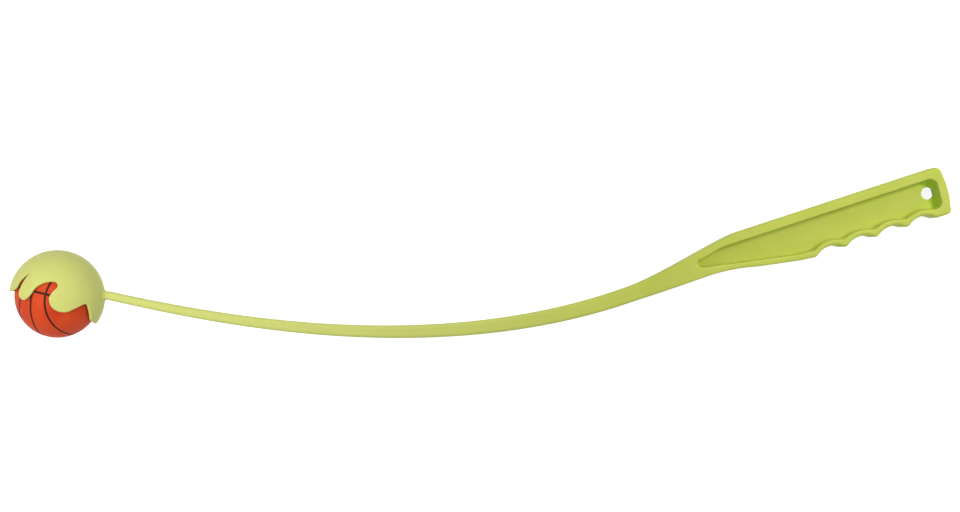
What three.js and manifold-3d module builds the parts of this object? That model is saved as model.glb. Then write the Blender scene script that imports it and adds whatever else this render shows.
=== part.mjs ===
// A one-piece plastic ball thrower with a claw cup, and the rubber ball that the cup holds.
// All lengths are in millimetres. The thrower is drawn in its side view: x runs towards the
// handle, y is up, z is towards the viewer, and the middle of the cup is at zero. The last
// section lays it on its side on the plane z = 0.
import * as THREE from "three";
import { mergeVertices } from "three/addons/utils/BufferGeometryUtils.js";
import Module from "manifold-3d";

// Ball
const ballDiameter = 60;
const seamWidth = 1.6;
const seamDepth = 0.9;
const seamBelowSkin = 0.2;
const seamClearance = 0.1;
const ovalWideDegrees = 70;
const ovalNarrowDegrees = 54.6;
const ballTurnDegrees = [-7.8, -23, -14.5];

// Claw cup
const cupWall = 2;
const cupPlay = 1.4;
const seatGap = 0.3;
const openingTiltDegrees = 20;
const clawReachDegrees = 14.8;
const domeEdgeShare = -2.16;

// Stem
const stemReach = 375.3;
const stemRise = 0.9;
const stemRootDegrees = 2.8;
const stemStartDegrees = -12.1;
const stemEndDegrees = 19.8;
const stemStartPullShare = 0.152;
const stemEndPullShare = 0.4255;
const stemStartDepth = 5.8;
const stemEndDepth = 11.4;
const stemStartWidth = 9;
const stemEndWidth = 12;
const stemStartEdge = 2.2;
const neckLength = 7;
const neckFillet = 3;

// Handle
const gripDegrees = 18.15;
const gripLength = 234.2;
const gripTop = 18.4;
const gripBottom = 15.1;
const gripWidth = 25;
const edgeRadius = 2.4;
const flareLength = 60;
const topSweepLength = 82;
const fingerCount = 4;
const fingerPitch = 22.85;
const fingerDepth = 3.9;
const fingerTipRadius = 4;
const fingerLeadDegrees = 10;
const fingerFall = 0.3;
const firstTipDrop = 0.45;
const heelLength = 12.8;
const heelDrop = 0.6;
const heelRadius = 3.9;
const topCornerRadius = 4.8;
const endCrown = 2.15;
const cornerLeanDegrees = 6;

// Recess in each side of the handle
const webThickness = 3;
const topRim = 6.6;
const endRim = 6.6;
const fingerRim = 5.55;
const heelRim = 5.45;
const recessWave = 2.15;
const recessWaveTipRadius = 6;
const recessFirstDrop = 1.2;
const recessLeadDegrees = 5;
const recessSweepLength = 73;
const recessStart = 49.7;
const recessNoseRadius = 3;
const recessNoseHeight = 5.3;
const recessNoseLeanDegrees = 20;
const recessCornerRadius = 5;
const recessTopCornerRadius = 4;
const recessFloorRadius = 2;

// Hanging hole through the web
const holeDiameter = 8.7;
const holeFromEnd = 12.9;
const holeHeight = 2.2;

// Gap between solids of the same moulding, and how far a cutter runs past what it cuts
const jointGap = 0.3;
const overrun = 8;

// Points nearer than these are one point, of an outline or of a surface
const shortestEdge = 0.1;
const weldDistance = 0.0001;

// Outlines of the claws from notch to notch: [share of the half turn from the front of the
// cup to its back, share of the claw reach past the equator]. Corners are the two places in
// the list between which the outline is the claw's tip.
const frontNotchShares = [0.288, -1.4];
const sideNotchShares = [0.511, -1.486];
const rearNotchShares = [0.788, -0.453];
const frontClaw = {
  corners: [3, 7],
  columns: 12,
  outlineShares: mirrored(0, [
    [0, 0.865],
    [0.078, 0.82],
    [0.153, 0.676],
    [0.222, 0.25],
    [0.24, -0.45],
    frontNotchShares,
  ]),
};
const sideClaw = {
  corners: [3, 5],
  columns: 5,
  outlineShares: [
    frontNotchShares,
    [0.281, -0.6],
    [0.274, 0.3],
    [0.287, 0.743],
    [0.322, 0.899],
    [0.352, 0.784],
    [0.381, 0.25],
    [0.401, -0.486],
    [0.45, -1.15],
    sideNotchShares,
  ],
};
const waveClaw = {
  corners: [4, 6],
  columns: 6,
  outlineShares: [
    sideNotchShares,
    [0.541, -1.2],
    [0.521, -0.58],
    [0.515, 0],
    [0.549, 0.574],
    [0.6, 0.76],
    [0.66, 0.595],
    [0.71, 0.08],
    [0.755, -0.36],
    rearNotchShares,
  ],
};
const rearClaw = {
  corners: [2, 6],
  columns: 9,
  outlineShares: mirrored(1, [
    [1, 1],
    [0.944, 0.946],
    [0.883, 0.716],
    [0.828, 0.03],
    rearNotchShares,
  ]),
};

// The underside of the handle's throat, between the stem and the first finger rest: [share
// of the throat's length, share of its drop from the stem's underside to the finger tips].
const throatShares = [
  [0.13, -0.01],
  [0.26, -0.04],
  [0.45, -0.1],
  [0.59, 0.08],
  [0.72, 0.45],
  [0.92, 0.93],
];
// The top of the throat, as the two control points of a curve: [share of its length, share
// of its rise].
const sweepShares = [
  [0.33, 0.1],
  [0.72, 0.815],
];
// The lower edge of the recess before the finger rests: [share of the run from its nose to
// the first tip, share of the drop from its nose to the finger rim].
const recessThroatShares = [
  [0.06, 0.09],
  [0.16, 0.2],
  [0.31, 0.395],
  [0.6, 0.73],
  [0.85, 1.03],
];
// The upper edge of the recess from its straight part to its nose, as the two control points
// of a curve: [share of the run, share of the drop].
const recessSweepShares = [
  [0.28, 0],
  [0.62, 0.74],
];

// Steps of the curved surfaces
const domeRows = 5;
const rootRows = 2;
const bladeRows = 6;
const stemStations = 34;
const neckFilletSteps = 3;
const cornerSteps = 2;
const arcSteps = 6;
const hollowSteps = 7;
const sweepSteps = 10;
const throatSteps = 16;
const seamSteps = 40;
const ballDetail = 6;
const holeSteps = 24;
const settlingSteps = 20;

// Sizes that follow from the ones above
const ballRadius = ballDiameter / 2;
const cupInner = ballRadius + cupPlay;
const cupOuter = cupInner + cupWall;
const cupMiddle = cupInner + cupWall / 2;
const seatDepth = cupPlay - seatGap;
const clawReach = THREE.MathUtils.degToRad(clawReachDegrees);
const openingTilt = THREE.MathUtils.degToRad(openingTiltDegrees);
const openingAxis = new THREE.Vector3(-Math.sin(openingTilt), -Math.cos(openingTilt), 0);
const gripBend = THREE.MathUtils.degToRad(stemEndDegrees - gripDegrees);
const firstTip = gripLength - heelLength - fingerCount * fingerPitch;

const wasm = await Module();
wasm.setup();

// Makes a solid from a closed geometry.
function solidOf(geometry) {
  const bare = geometry.index ? geometry.toNonIndexed() : geometry.clone();
  bare.deleteAttribute("normal");
  bare.deleteAttribute("uv");
  const merged = mergeVertices(bare, weldDistance);
  const vertProperties = merged.getAttribute("position").array;
  const triVerts = new Uint32Array(merged.index.array);
  return new wasm.Manifold(new wasm.Mesh({ numProp: 3, vertProperties, triVerts }));
}

// Makes a geometry from a solid.
function geometryOf(solid) {
  const made = solid.getMesh();
  const geometry = new THREE.BufferGeometry();
  geometry.setAttribute("position", new THREE.BufferAttribute(made.vertProperties, 3));
  geometry.setIndex(new THREE.BufferAttribute(made.triVerts, 1));
  geometry.computeVertexNormals();
  return geometry;
}

// Makes a geometry from a list of triangles, each three points. A triangle whose corners
// meet, as at a pole, is left out.
function geometryOfTriangles(triangles) {
  const whole = triangles.filter(
    ([a, b, c]) => !a.equals(b) && !b.equals(c) && !c.equals(a),
  );
  return new THREE.BufferGeometry().setFromPoints(whole.flat());
}

// The triangles of a grid of points. Rows by columns, turned outwards where the rows run
// down and the columns run to the right as seen from outside.
function gridTriangles(rows) {
  const triangles = [];
  for (let i = 0; i + 1 < rows.length; i++) {
    for (let j = 0; j + 1 < rows[i].length; j++) {
      const [a, b] = [rows[i][j], rows[i][j + 1]];
      const [d, c] = [rows[i + 1][j], rows[i + 1][j + 1]];
      triangles.push([a, d, c], [a, c, b]);
    }
  }
  return triangles;
}

// Mirrors half a claw's outline about its tip, and puts it in order of azimuth.
function mirrored(tipShare, halfShares) {
  const other = halfShares.slice(1).map(([azimuth, latitude]) => [2 * tipShare - azimuth, latitude]);
  return [...other.reverse(), ...halfShares].sort((one, two) => one[0] - two[0]);
}

// A point of the cup, by its radius, its azimuth round the opening's axis from the front,
// and its latitude past the equator towards the opening.
function cupPoint(radius, azimuth, latitude) {
  const point = new THREE.Vector3(
    -Math.cos(latitude) * Math.cos(azimuth),
    -Math.sin(latitude),
    Math.cos(latitude) * Math.sin(azimuth),
  );
  point.applyAxisAngle(new THREE.Vector3(0, 0, 1), -openingTilt);
  return point.multiplyScalar(radius);
}

// The grid of a claw in angles, from the dome's edge to its tip.
function clawGrid(claw, side) {
  const toAngles = ([azimuthShare, latitudeShare]) =>
    new THREE.Vector2(side * azimuthShare * Math.PI, latitudeShare * clawReach);
  const places = claw.outlineShares.map(toAngles);
  const corners = [...claw.corners];
  if (side < 0) {
    places.reverse();
    corners.reverse();
    corners.forEach((corner, k) => (corners[k] = places.length - 1 - corner));
  }
  const outline = new THREE.SplineCurve(places);
  const [leftCorner, rightCorner] = corners.map((corner) => corner / (places.length - 1));
  const domeEdge = domeEdgeShare * clawReach;
  const rows = [];
  for (let i = 0; i <= rootRows + bladeRows; i++) {
    const climb = Math.min(1, i / rootRows);
    const share = Math.max(0, (i - rootRows) / bladeRows);
    const left = outline.getPoint(share * leftCorner);
    const right = outline.getPoint(1 - share * (1 - rightCorner));
    if (i < rootRows) {
      left.y = THREE.MathUtils.lerp(domeEdge, left.y, climb);
      right.y = THREE.MathUtils.lerp(domeEdge, right.y, climb);
    }
    const row = [];
    for (let j = 0; j <= claw.columns; j++) {
      const across = j / claw.columns;
      const place = left.clone().lerp(right, across);
      const tip = outline.getPoint(THREE.MathUtils.lerp(leftCorner, rightCorner, across));
      const chord = outline.getPoint(leftCorner).lerp(outline.getPoint(rightCorner), across);
      place.add(tip.sub(chord).multiplyScalar(share * share));
      row.push(place);
    }
    rows.push(row);
  }
  return rows;
}

// The cup: a dome that splits into six claws, with an even wall.
function cupShell() {
  const triangles = [];
  const skinned = (grid) => {
    const outer = grid.map((row) => row.map((p) => cupPoint(cupOuter, p.x, p.y)));
    const inner = grid.map((row) => row.map((p) => cupPoint(cupInner, p.x, p.y)));
    triangles.push(...gridTriangles(outer));
    triangles.push(...gridTriangles(inner).map(([a, b, c]) => [a, c, b]));
    return [outer, inner];
  };
  const edge = (outer, inner) => triangles.push(...gridTriangles([inner, outer]));
  const claws = [
    [frontClaw, 1],
    [sideClaw, 1],
    [waveClaw, 1],
    [rearClaw, 1],
    [waveClaw, -1],
    [sideClaw, -1],
  ];
  for (const [claw, side] of claws) {
    const grid = clawGrid(claw, side);
    const [outer, inner] = skinned(grid);
    const blade = (rows, column) => rows.slice(rootRows).map((row) => row.at(column));
    edge(outer.at(-1).toReversed(), inner.at(-1).toReversed());
    edge(blade(outer, 0).toReversed(), blade(inner, 0).toReversed());
    edge(blade(outer, -1), blade(inner, -1));
    const domeGrid = [];
    for (let i = 0; i <= domeRows; i++) {
      const latitude = THREE.MathUtils.lerp(-Math.PI / 2, grid[0][0].y, i / domeRows);
      domeGrid.push(grid[0].map((p) => new THREE.Vector2(p.x, latitude)));
    }
    skinned(domeGrid);
  }
  return solidOf(geometryOfTriangles(triangles));
}

// The stem's middle line, from the cup's skin to the handle.
const stemRoot = new THREE.Vector2(cupOuter, 0).rotateAround(
  new THREE.Vector2(),
  THREE.MathUtils.degToRad(stemRootDegrees),
);
const stemEnd = stemRoot.clone().add(new THREE.Vector2(stemReach, stemRise));
const stemChord = stemEnd.distanceTo(stemRoot);
const direction = (degrees) => {
  const angle = THREE.MathUtils.degToRad(degrees);
  return new THREE.Vector2(Math.cos(angle), Math.sin(angle));
};
const stemLine = new THREE.CubicBezierCurve(
  stemRoot,
  stemRoot.clone().addScaledVector(direction(stemStartDegrees), stemStartPullShare * stemChord),
  stemEnd.clone().addScaledVector(direction(stemEndDegrees), -stemEndPullShare * stemChord),
  stemEnd,
);
const stemLength = stemLine.getLength();

// A rounded rectangle as a ring of [across, out] pairs, depth across and width out.
function roundedSection(depth, width, radius) {
  const ring = [];
  for (let corner = 0; corner < 4; corner++) {
    const across = (corner === 0 || corner === 3 ? 1 : -1) * (depth / 2 - radius);
    const out = (corner < 2 ? 1 : -1) * (width / 2 - radius);
    for (let k = 0; k <= cornerSteps; k++) {
      const angle = (corner + k / cornerSteps) * (Math.PI / 2);
      ring.push([across + radius * Math.cos(angle), out + radius * Math.sin(angle)]);
    }
  }
  return ring;
}

// The stem's section at a length along it from the cup.
function stemRing(along) {
  const share = along / stemLength;
  const middle = stemLine.getPointAt(share);
  const tangent = stemLine.getTangentAt(share);
  const depth = THREE.MathUtils.lerp(stemStartDepth, stemEndDepth, share);
  const width = THREE.MathUtils.lerp(stemStartWidth, stemEndWidth, share);
  const radius = THREE.MathUtils.lerp(stemStartEdge, edgeRadius, share);
  return roundedSection(depth, width, radius).map(
    ([across, out]) =>
      new THREE.Vector3(middle.x - tangent.y * across, middle.y + tangent.x * across, out),
  );
}

// A solid skinned over rings, with each end closed by a fan about the point given.
function skinnedRings(rings, startPoint, endPoint) {
  const closed = rings.map((ring) => [ring[0], ...ring.toReversed()]);
  const start = closed[0].map(() => startPoint);
  const end = closed[0].map(() => endPoint);
  return solidOf(geometryOfTriangles(gridTriangles([start, ...closed, end])));
}

function middleOf(along) {
  const middle = stemLine.getPointAt(along / stemLength);
  return new THREE.Vector3(middle.x, middle.y, 0);
}

// The short root of the stem on the cup, with a fillet all round.
function stemNeck() {
  const throat = stemRing(neckFillet);
  const foot = throat.map((point) => point.clone().setLength(cupOuter));
  const flared = foot.map((point) => {
    const outward = point.clone().sub(middleOf(0)).normalize();
    return point.clone().addScaledVector(outward, neckFillet).setLength(cupOuter);
  });
  const rings = [flared.map((point) => point.clone().setLength(cupMiddle))];
  for (let k = 0; k <= neckFilletSteps; k++) {
    const angle = (k / neckFilletSteps) * (Math.PI / 2);
    rings.push(
      foot.map((point, n) =>
        point
          .clone()
          .addScaledVector(flared[n].clone().sub(point), 1 - Math.sin(angle))
          .addScaledVector(throat[n].clone().sub(point), 1 - Math.cos(angle)),
      ),
    );
  }
  rings.push(stemRing(neckLength));
  return skinnedRings(rings, middleOf(0).setLength(cupMiddle), middleOf(neckLength));
}

function stemSolid() {
  const rings = [];
  const start = neckLength + jointGap;
  for (let k = 0; k <= stemStations; k++) {
    rings.push(stemRing(THREE.MathUtils.lerp(start, stemLength, k / stemStations)));
  }
  return skinnedRings(rings, middleOf(start), middleOf(stemLength));
}

// Points of an arc about a middle, in degrees.
function arc(middle, radius, fromDegrees, toDegrees, steps = arcSteps) {
  const [from, to] = [fromDegrees, toDegrees].map(THREE.MathUtils.degToRad);
  const clockwise = to < from;
  const curve = new THREE.EllipseCurve(middle.x, middle.y, radius, radius, from, to, clockwise);
  return curve.getPoints(steps);
}

// A closed shape through points, leaving out a point that repeats the one before.
function shapeThrough(points) {
  const kept = points.filter((p, k) => p.distanceTo(points.at(k - 1)) > shortestEdge);
  return new THREE.Shape(kept);
}

// A wave of rounded tips and hollows, one hollow for each finger. The first tip starts its
// lead before its lowest point, and the last ends at its lowest point. The line of the tips
// falls towards the heel, and the drops are how far its first and last tip stand below it.
function fingerWave(level, depth, tipRadius, leadDegrees, firstDrop, lastDrop) {
  const slope = 2 * Math.atan(depth / (fingerPitch / 2));
  const slopeDegrees = THREE.MathUtils.radToDeg(slope);
  const hollowRadius = fingerPitch / 2 / Math.sin(slope) - tipRadius;
  const points = [];
  for (let finger = 0; finger <= fingerCount; finger++) {
    const tip = new THREE.Vector2(firstTip + finger * fingerPitch, level + tipRadius);
    const from = finger === 0 ? -90 - leadDegrees : -90 - slopeDegrees;
    const to = finger === fingerCount ? -90 : -90 + slopeDegrees;
    points.push(...arc(tip, tipRadius, from, to));
    if (finger < fingerCount) {
      const hollow = new THREE.Vector2(tip.x + fingerPitch / 2, level + depth - hollowRadius);
      const [into, outOf] = [90 + slopeDegrees, 90 - slopeDegrees];
      points.push(...arc(hollow, hollowRadius, into, outOf, hollowSteps));
    }
  }
  const firstHollow = firstTip + fingerPitch / 2;
  const lastHollow = firstTip + (fingerCount - 1 / 2) * fingerPitch;
  for (const point of points) {
    const ahead = 1 - THREE.MathUtils.smoothstep(point.x, firstTip, firstHollow);
    const behind = THREE.MathUtils.smoothstep(point.x, lastHollow, lastHollow + fingerPitch / 2);
    const along = (point.x - firstTip) / (fingerCount * fingerPitch);
    point.y -= fingerFall * along + firstDrop * ahead + lastDrop * behind;
  }
  return points;
}

// A place in the handle's own axes, given along and across the end of the stem.
function fromStem(along, across) {
  return new THREE.Vector2(along, across).rotateAround(new THREE.Vector2(), gripBend);
}

function gripOutline() {
  const under = fromStem(0, -stemEndDepth / 2);
  const over = fromStem(0, stemEndDepth / 2);
  const throat = throatShares.map(
    ([run, drop]) =>
      new THREE.Vector2(run * firstTip, THREE.MathUtils.lerp(under.y, -gripBottom, drop)),
  );
  const sweepPoint = ([run, rise]) =>
    new THREE.Vector2(run * topSweepLength, THREE.MathUtils.lerp(over.y, gripTop, rise));
  const sweep = new THREE.CubicBezierCurve(
    new THREE.Vector2(topSweepLength, gripTop),
    sweepPoint(sweepShares[1]),
    sweepPoint(sweepShares[0]),
    over,
  );
  const heelStart = new THREE.Vector2(
    gripLength - endCrown - heelRadius,
    heelRadius - gripBottom - fingerFall - heelDrop,
  );
  const topStart = new THREE.Vector2(
    gripLength - endCrown / 3 - topCornerRadius,
    gripTop - topCornerRadius,
  );
  const fingers = fingerWave(
    -gripBottom,
    fingerDepth,
    fingerTipRadius,
    fingerLeadDegrees,
    firstTipDrop,
    heelDrop,
  );
  const heel = arc(heelStart, heelRadius, -90, cornerLeanDegrees);
  const crown = arc(topStart, topCornerRadius, -cornerLeanDegrees, 90);
  const endFace = new THREE.QuadraticBezierCurve(
    heel.at(-1),
    new THREE.Vector2(gripLength + endCrown / 2, (heel.at(-1).y + crown[0].y) / 2),
    crown[0],
  );
  return shapeThrough([
    fromStem(-overrun, -stemEndDepth / 2),
    ...new THREE.SplineCurve([under, ...throat]).getPoints(throatSteps),
    ...fingers,
    ...heel,
    ...endFace.getPoints(arcSteps),
    ...crown,
    ...sweep.getPoints(sweepSteps),
    fromStem(-overrun, stemEndDepth / 2),
  ]);
}

function recessOutline() {
  const top = gripTop - topRim;
  const level = fingerRim - gripBottom;
  const nose = new THREE.Vector2(recessStart + recessNoseRadius, recessNoseHeight);
  const noseBottom = nose.y - recessNoseRadius;
  const throat = recessThroatShares.map(
    ([run, drop]) =>
      new THREE.Vector2(
        THREE.MathUtils.lerp(nose.x, firstTip, run),
        THREE.MathUtils.lerp(noseBottom, level, drop),
      ),
  );
  const right = gripLength - endRim;
  const heel = new THREE.Vector2(
    right - recessCornerRadius,
    heelRim - gripBottom + recessCornerRadius,
  );
  const crown = new THREE.Vector2(right - recessTopCornerRadius, top - recessTopCornerRadius);
  const lean = recessNoseLeanDegrees;
  const noseEnd = arc(nose, recessNoseRadius, 90 + lean, 270 - lean);
  const sweepStart = new THREE.Vector2(recessSweepLength, top);
  const sweepPoint = ([run, drop]) =>
    new THREE.Vector2(
      THREE.MathUtils.lerp(sweepStart.x, noseEnd[0].x, run),
      THREE.MathUtils.lerp(sweepStart.y, noseEnd[0].y, drop),
    );
  const sweep = new THREE.CubicBezierCurve(
    sweepStart,
    sweepPoint(recessSweepShares[0]),
    sweepPoint(recessSweepShares[1]),
    noseEnd[0],
  );
  const waves = fingerWave(
    level,
    recessWave,
    recessWaveTipRadius,
    recessLeadDegrees,
    recessFirstDrop,
    0,
  );
  return shapeThrough([
    ...noseEnd,
    ...new THREE.SplineCurve([noseEnd.at(-1), ...throat]).getPoints(throatSteps),
    ...waves,
    ...arc(heel, recessCornerRadius, -90, 0),
    ...arc(crown, recessTopCornerRadius, 0, 90),
    ...sweep.getPoints(sweepSteps),
  ]);
}

// An outline as a slab whose edges are rounded on both faces, between two heights. The
// outline given is its widest.
function roundedSlab(shape, radius, low, high) {
  const slab = new THREE.ExtrudeGeometry(shape, {
    depth: high - low - 2 * radius,
    bevelThickness: radius,
    bevelSize: radius,
    bevelOffset: -radius,
    bevelSegments: cornerSteps,
  });
  return slab.translate(0, 0, low + radius);
}

// Draws the sides of the slab in towards the stem's width, and keeps its rounded edges.
function flared(slab) {
  const place = slab.getAttribute("position");
  for (let k = 0; k < place.count; k++) {
    const share = THREE.MathUtils.smoothstep(place.getX(k), 0, flareLength);
    const width = THREE.MathUtils.lerp(stemEndWidth, gripWidth, share);
    const out = place.getZ(k);
    place.setZ(k, out - Math.sign(out) * (gripWidth / 2 - width / 2));
  }
  return slab;
}

function gripSolid() {
  const slab = flared(roundedSlab(gripOutline(), edgeRadius, -gripWidth / 2, gripWidth / 2));
  let grip = solidOf(slab);
  const recess = recessOutline();
  const faceRun = gripWidth / 2 + overrun;
  grip = grip.subtract(solidOf(roundedSlab(recess, recessFloorRadius, webThickness / 2, faceRun)));
  grip = grip.subtract(solidOf(roundedSlab(recess, recessFloorRadius, -faceRun, -webThickness / 2)));
  const hole = new THREE.CylinderGeometry(holeDiameter / 2, holeDiameter / 2, gripWidth, holeSteps);
  hole.rotateX(Math.PI / 2).translate(gripLength - holeFromEnd, holeHeight, 0);
  grip = grip.subtract(solidOf(hole));
  const end = new THREE.BoxGeometry(2 * overrun, 2 * gripTop, 2 * gripWidth);
  end.translate(jointGap - overrun, 0, 0).rotateZ(gripBend);
  return grip.subtract(solidOf(end));
}

// A closed seam round the ball's x axis. Its polar angle from that axis is given at each
// turn about the axis, and its section runs between two radii.
function seamRing(polarAt, width, low, high) {
  const half = width / 2;
  const profile = [
    [low, half],
    [high, half],
    [high, -half],
    [low, -half],
  ];
  const rows = [];
  for (let k = 0; k <= seamSteps; k++) {
    const turn = ((k % seamSteps) / seamSteps) * 2 * Math.PI;
    const row = [...profile, profile[0]].map(([radius, aside]) => {
      const polar = polarAt(turn) + aside / ballRadius;
      const point = new THREE.Vector3(Math.cos(polar), 0, Math.sin(polar));
      return point.applyAxisAngle(new THREE.Vector3(1, 0, 0), turn).multiplyScalar(radius);
    });
    rows.push(row);
  }
  return geometryOfTriangles(gridTriangles(rows));
}

// The four seams together: two great circles, and an oval about each side of the ball.
function seamNet(width, low, high) {
  const wide = THREE.MathUtils.degToRad(ovalWideDegrees);
  const narrow = THREE.MathUtils.degToRad(ovalNarrowDegrees);
  const oval = (turn) => THREE.MathUtils.lerp(wide, narrow, Math.sin(turn) ** 2);
  const circle = () => Math.PI / 2;
  const rings = [
    seamRing(circle, width, low, high),
    seamRing(circle, width, low, high).rotateZ(Math.PI / 2),
    seamRing(oval, width, low, high),
    seamRing(oval, width, low, high).rotateY(Math.PI),
  ];
  return rings.map(solidOf).reduce((net, ring) => net.add(ring));
}

function ballSolids() {
  const core = solidOf(new THREE.IcosahedronGeometry(ballRadius, ballDetail));
  const grooves = seamNet(seamWidth, ballRadius - seamDepth, ballRadius + overrun);
  const seams = seamNet(
    seamWidth - 2 * seamClearance,
    ballRadius - seamDepth + seamClearance,
    ballRadius - seamBelowSkin,
  );
  return [core.subtract(grooves), seams];
}

// Materials
const limePlastic = { color: 0xcad66c, roughness: 0.5, metalness: 0 };
const orangeRubber = { color: 0xde4526, roughness: 0.75, metalness: 0 };
const darkRubber = { color: 0x3a0f0c, roughness: 0.8, metalness: 0 };

function meshOf(name, solid, look) {
  const mesh = new THREE.Mesh(geometryOf(solid), new THREE.MeshStandardMaterial(look));
  mesh.name = name;
  return mesh;
}

// The scene graph, in the side view
const cup = meshOf("claw_cup", cupShell().add(stemNeck()), limePlastic);
const stem = meshOf("flexible_stem", stemSolid(), limePlastic);

const grip = meshOf("handle_grip", gripSolid(), limePlastic);
grip.position.set(stemEnd.x, stemEnd.y, 0);
grip.rotation.z = THREE.MathUtils.degToRad(gripDegrees);

const [core, seams] = ballSolids();
const ball = new THREE.Group();
ball.add(meshOf("ball_core", core, orangeRubber), meshOf("ball_seams", seams, darkRubber));
ball.position.copy(openingAxis).multiplyScalar(-seatDepth);
ball.rotation.set(...ballTurnDegrees.map(THREE.MathUtils.degToRad));

const thrower = new THREE.Group();
thrower.add(cup, stem, grip, ball);

// Lays the thrower down on its side: finds the plane that touches the cup once and the
// handle twice, on either side of its middle finger rest.
function lowestPoint(mesh, up, isWithin) {
  const place = mesh.geometry.getAttribute("position");
  const point = new THREE.Vector3();
  const lowest = new THREE.Vector3();
  let least = Infinity;
  for (let k = 0; k < place.count; k++) {
    point.fromBufferAttribute(place, k);
    const within = isWithin(point);
    point.applyMatrix4(mesh.matrixWorld);
    if (within && point.dot(up) < least) {
      least = point.dot(up);
      lowest.copy(point);
    }
  }
  return lowest;
}

function restingUp() {
  thrower.updateMatrixWorld(true);
  const middle = firstTip + (fingerCount * fingerPitch) / 2;
  const up = new THREE.Vector3(0, 0, 1);
  for (let step = 0; step < settlingSteps; step++) {
    const a = lowestPoint(cup, up, () => true);
    const b = lowestPoint(grip, up, (point) => point.x < middle);
    const c = lowestPoint(grip, up, (point) => point.x > middle);
    up.crossVectors(b.sub(a), c.sub(a)).normalize();
    up.multiplyScalar(Math.sign(up.z));
  }
  return up;
}

const up = restingUp();
const across = up.clone().cross(new THREE.Vector3(1, 0, 0)).normalize();
const lengthwise = across.clone().cross(up);
const turn = new THREE.Matrix4().makeBasis(lengthwise, across, up).transpose();
thrower.setRotationFromMatrix(turn);

const part = new THREE.Group();
part.add(thrower);
const box = new THREE.Box3().setFromObject(part, true);
thrower.position.copy(box.getCenter(new THREE.Vector3())).negate();
thrower.position.z = -box.min.z;

export default part;
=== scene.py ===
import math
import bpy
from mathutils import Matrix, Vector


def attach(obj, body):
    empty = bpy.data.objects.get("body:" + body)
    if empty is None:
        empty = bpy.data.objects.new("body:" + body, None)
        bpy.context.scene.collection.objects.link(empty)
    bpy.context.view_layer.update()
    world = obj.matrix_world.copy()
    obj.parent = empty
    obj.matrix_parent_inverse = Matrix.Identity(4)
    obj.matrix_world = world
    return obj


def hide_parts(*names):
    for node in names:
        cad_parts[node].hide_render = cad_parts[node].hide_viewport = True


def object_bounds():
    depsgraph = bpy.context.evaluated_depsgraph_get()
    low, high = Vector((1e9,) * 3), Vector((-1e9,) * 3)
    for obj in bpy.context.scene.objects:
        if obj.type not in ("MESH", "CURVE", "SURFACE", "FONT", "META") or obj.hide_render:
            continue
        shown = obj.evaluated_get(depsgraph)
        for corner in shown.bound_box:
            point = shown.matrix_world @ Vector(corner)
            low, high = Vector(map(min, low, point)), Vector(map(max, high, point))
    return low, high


bl_info = {
    "name": "Dog Ball Thrower",
    "version": (1, 0, 0),
    "blender": (4, 5, 0),
    "location": "3D View > Sidebar > Ball Thrower",
    "description": "Builds a moulded dog ball thrower and its rubber ball round a packed CAD frame",
    "category": "Add Mesh",
}

import bmesh
import bpy
import numpy as np
from bpy.props import (
    FloatProperty,
    FloatVectorProperty,
    IntProperty,
    PointerProperty,
)
from mathutils import Matrix, Vector

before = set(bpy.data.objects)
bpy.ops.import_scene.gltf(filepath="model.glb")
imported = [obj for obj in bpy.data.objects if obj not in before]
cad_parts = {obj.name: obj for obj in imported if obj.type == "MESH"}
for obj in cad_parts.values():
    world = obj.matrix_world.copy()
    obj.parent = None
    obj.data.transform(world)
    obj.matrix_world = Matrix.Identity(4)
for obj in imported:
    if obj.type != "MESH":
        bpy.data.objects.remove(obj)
cad_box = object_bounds()

# The thrower is drawn in its side view, as its CAD source draws it: x runs from the middle of
# the cup towards the handle, y is up and z points at the viewer.

# Outlines of the claws from notch to notch: (share of the half turn from the front of the cup
# to its back, share of the claw reach past the equator). Corners are the two places in the
# list between which the outline is the claw's tip.
FRONT_NOTCH_SHARES = (0.288, -1.4)
SIDE_NOTCH_SHARES = (0.511, -1.486)
REAR_NOTCH_SHARES = (0.788, -0.453)
FRONT_HALF_SHARES = [
    (0, 0.865),
    (0.078, 0.82),
    (0.153, 0.676),
    (0.222, 0.25),
    (0.24, -0.45),
    FRONT_NOTCH_SHARES,
]
SIDE_SHARES = [
    FRONT_NOTCH_SHARES,
    (0.281, -0.6),
    (0.274, 0.3),
    (0.287, 0.743),
    (0.322, 0.899),
    (0.352, 0.784),
    (0.381, 0.25),
    (0.401, -0.486),
    (0.45, -1.15),
    SIDE_NOTCH_SHARES,
]
WAVE_SHARES = [
    SIDE_NOTCH_SHARES,
    (0.541, -1.2),
    (0.521, -0.58),
    (0.515, 0),
    (0.549, 0.574),
    (0.6, 0.76),
    (0.66, 0.595),
    (0.71, 0.08),
    (0.755, -0.36),
    REAR_NOTCH_SHARES,
]
REAR_HALF_SHARES = [
    REAR_NOTCH_SHARES,
    (0.828, 0.03),
    (0.883, 0.716),
    (0.944, 0.946),
    (1, 1),
]
# The edge of the cup's plain dome, as a share of the claw reach past the equator.
DOME_EDGE_SHARE = -2.16
# Each claw: its outline, the two corners of its tip and the columns of its mesh.
FRONT_CLAW = (FRONT_HALF_SHARES, (3, 7), 12)
SIDE_CLAW = (SIDE_SHARES, (3, 5), 5)
WAVE_CLAW = (WAVE_SHARES, (4, 6), 6)
REAR_CLAW = (REAR_HALF_SHARES, (2, 6), 9)
# How far along the rim its direction is measured, in points of its outline.
RIM_NUDGE = 0.02

# The underside of the handle's throat: (share of its length, share of its drop to the tips).
THROAT_SHARES = [
    (0.13, -0.01),
    (0.26, -0.04),
    (0.45, -0.1),
    (0.59, 0.08),
    (0.72, 0.45),
    (0.92, 0.93),
]
# The top of the throat as two control points: (share of its length, share of its rise).
SWEEP_SHARES = [(0.72, 0.815), (0.33, 0.1)]
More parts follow.
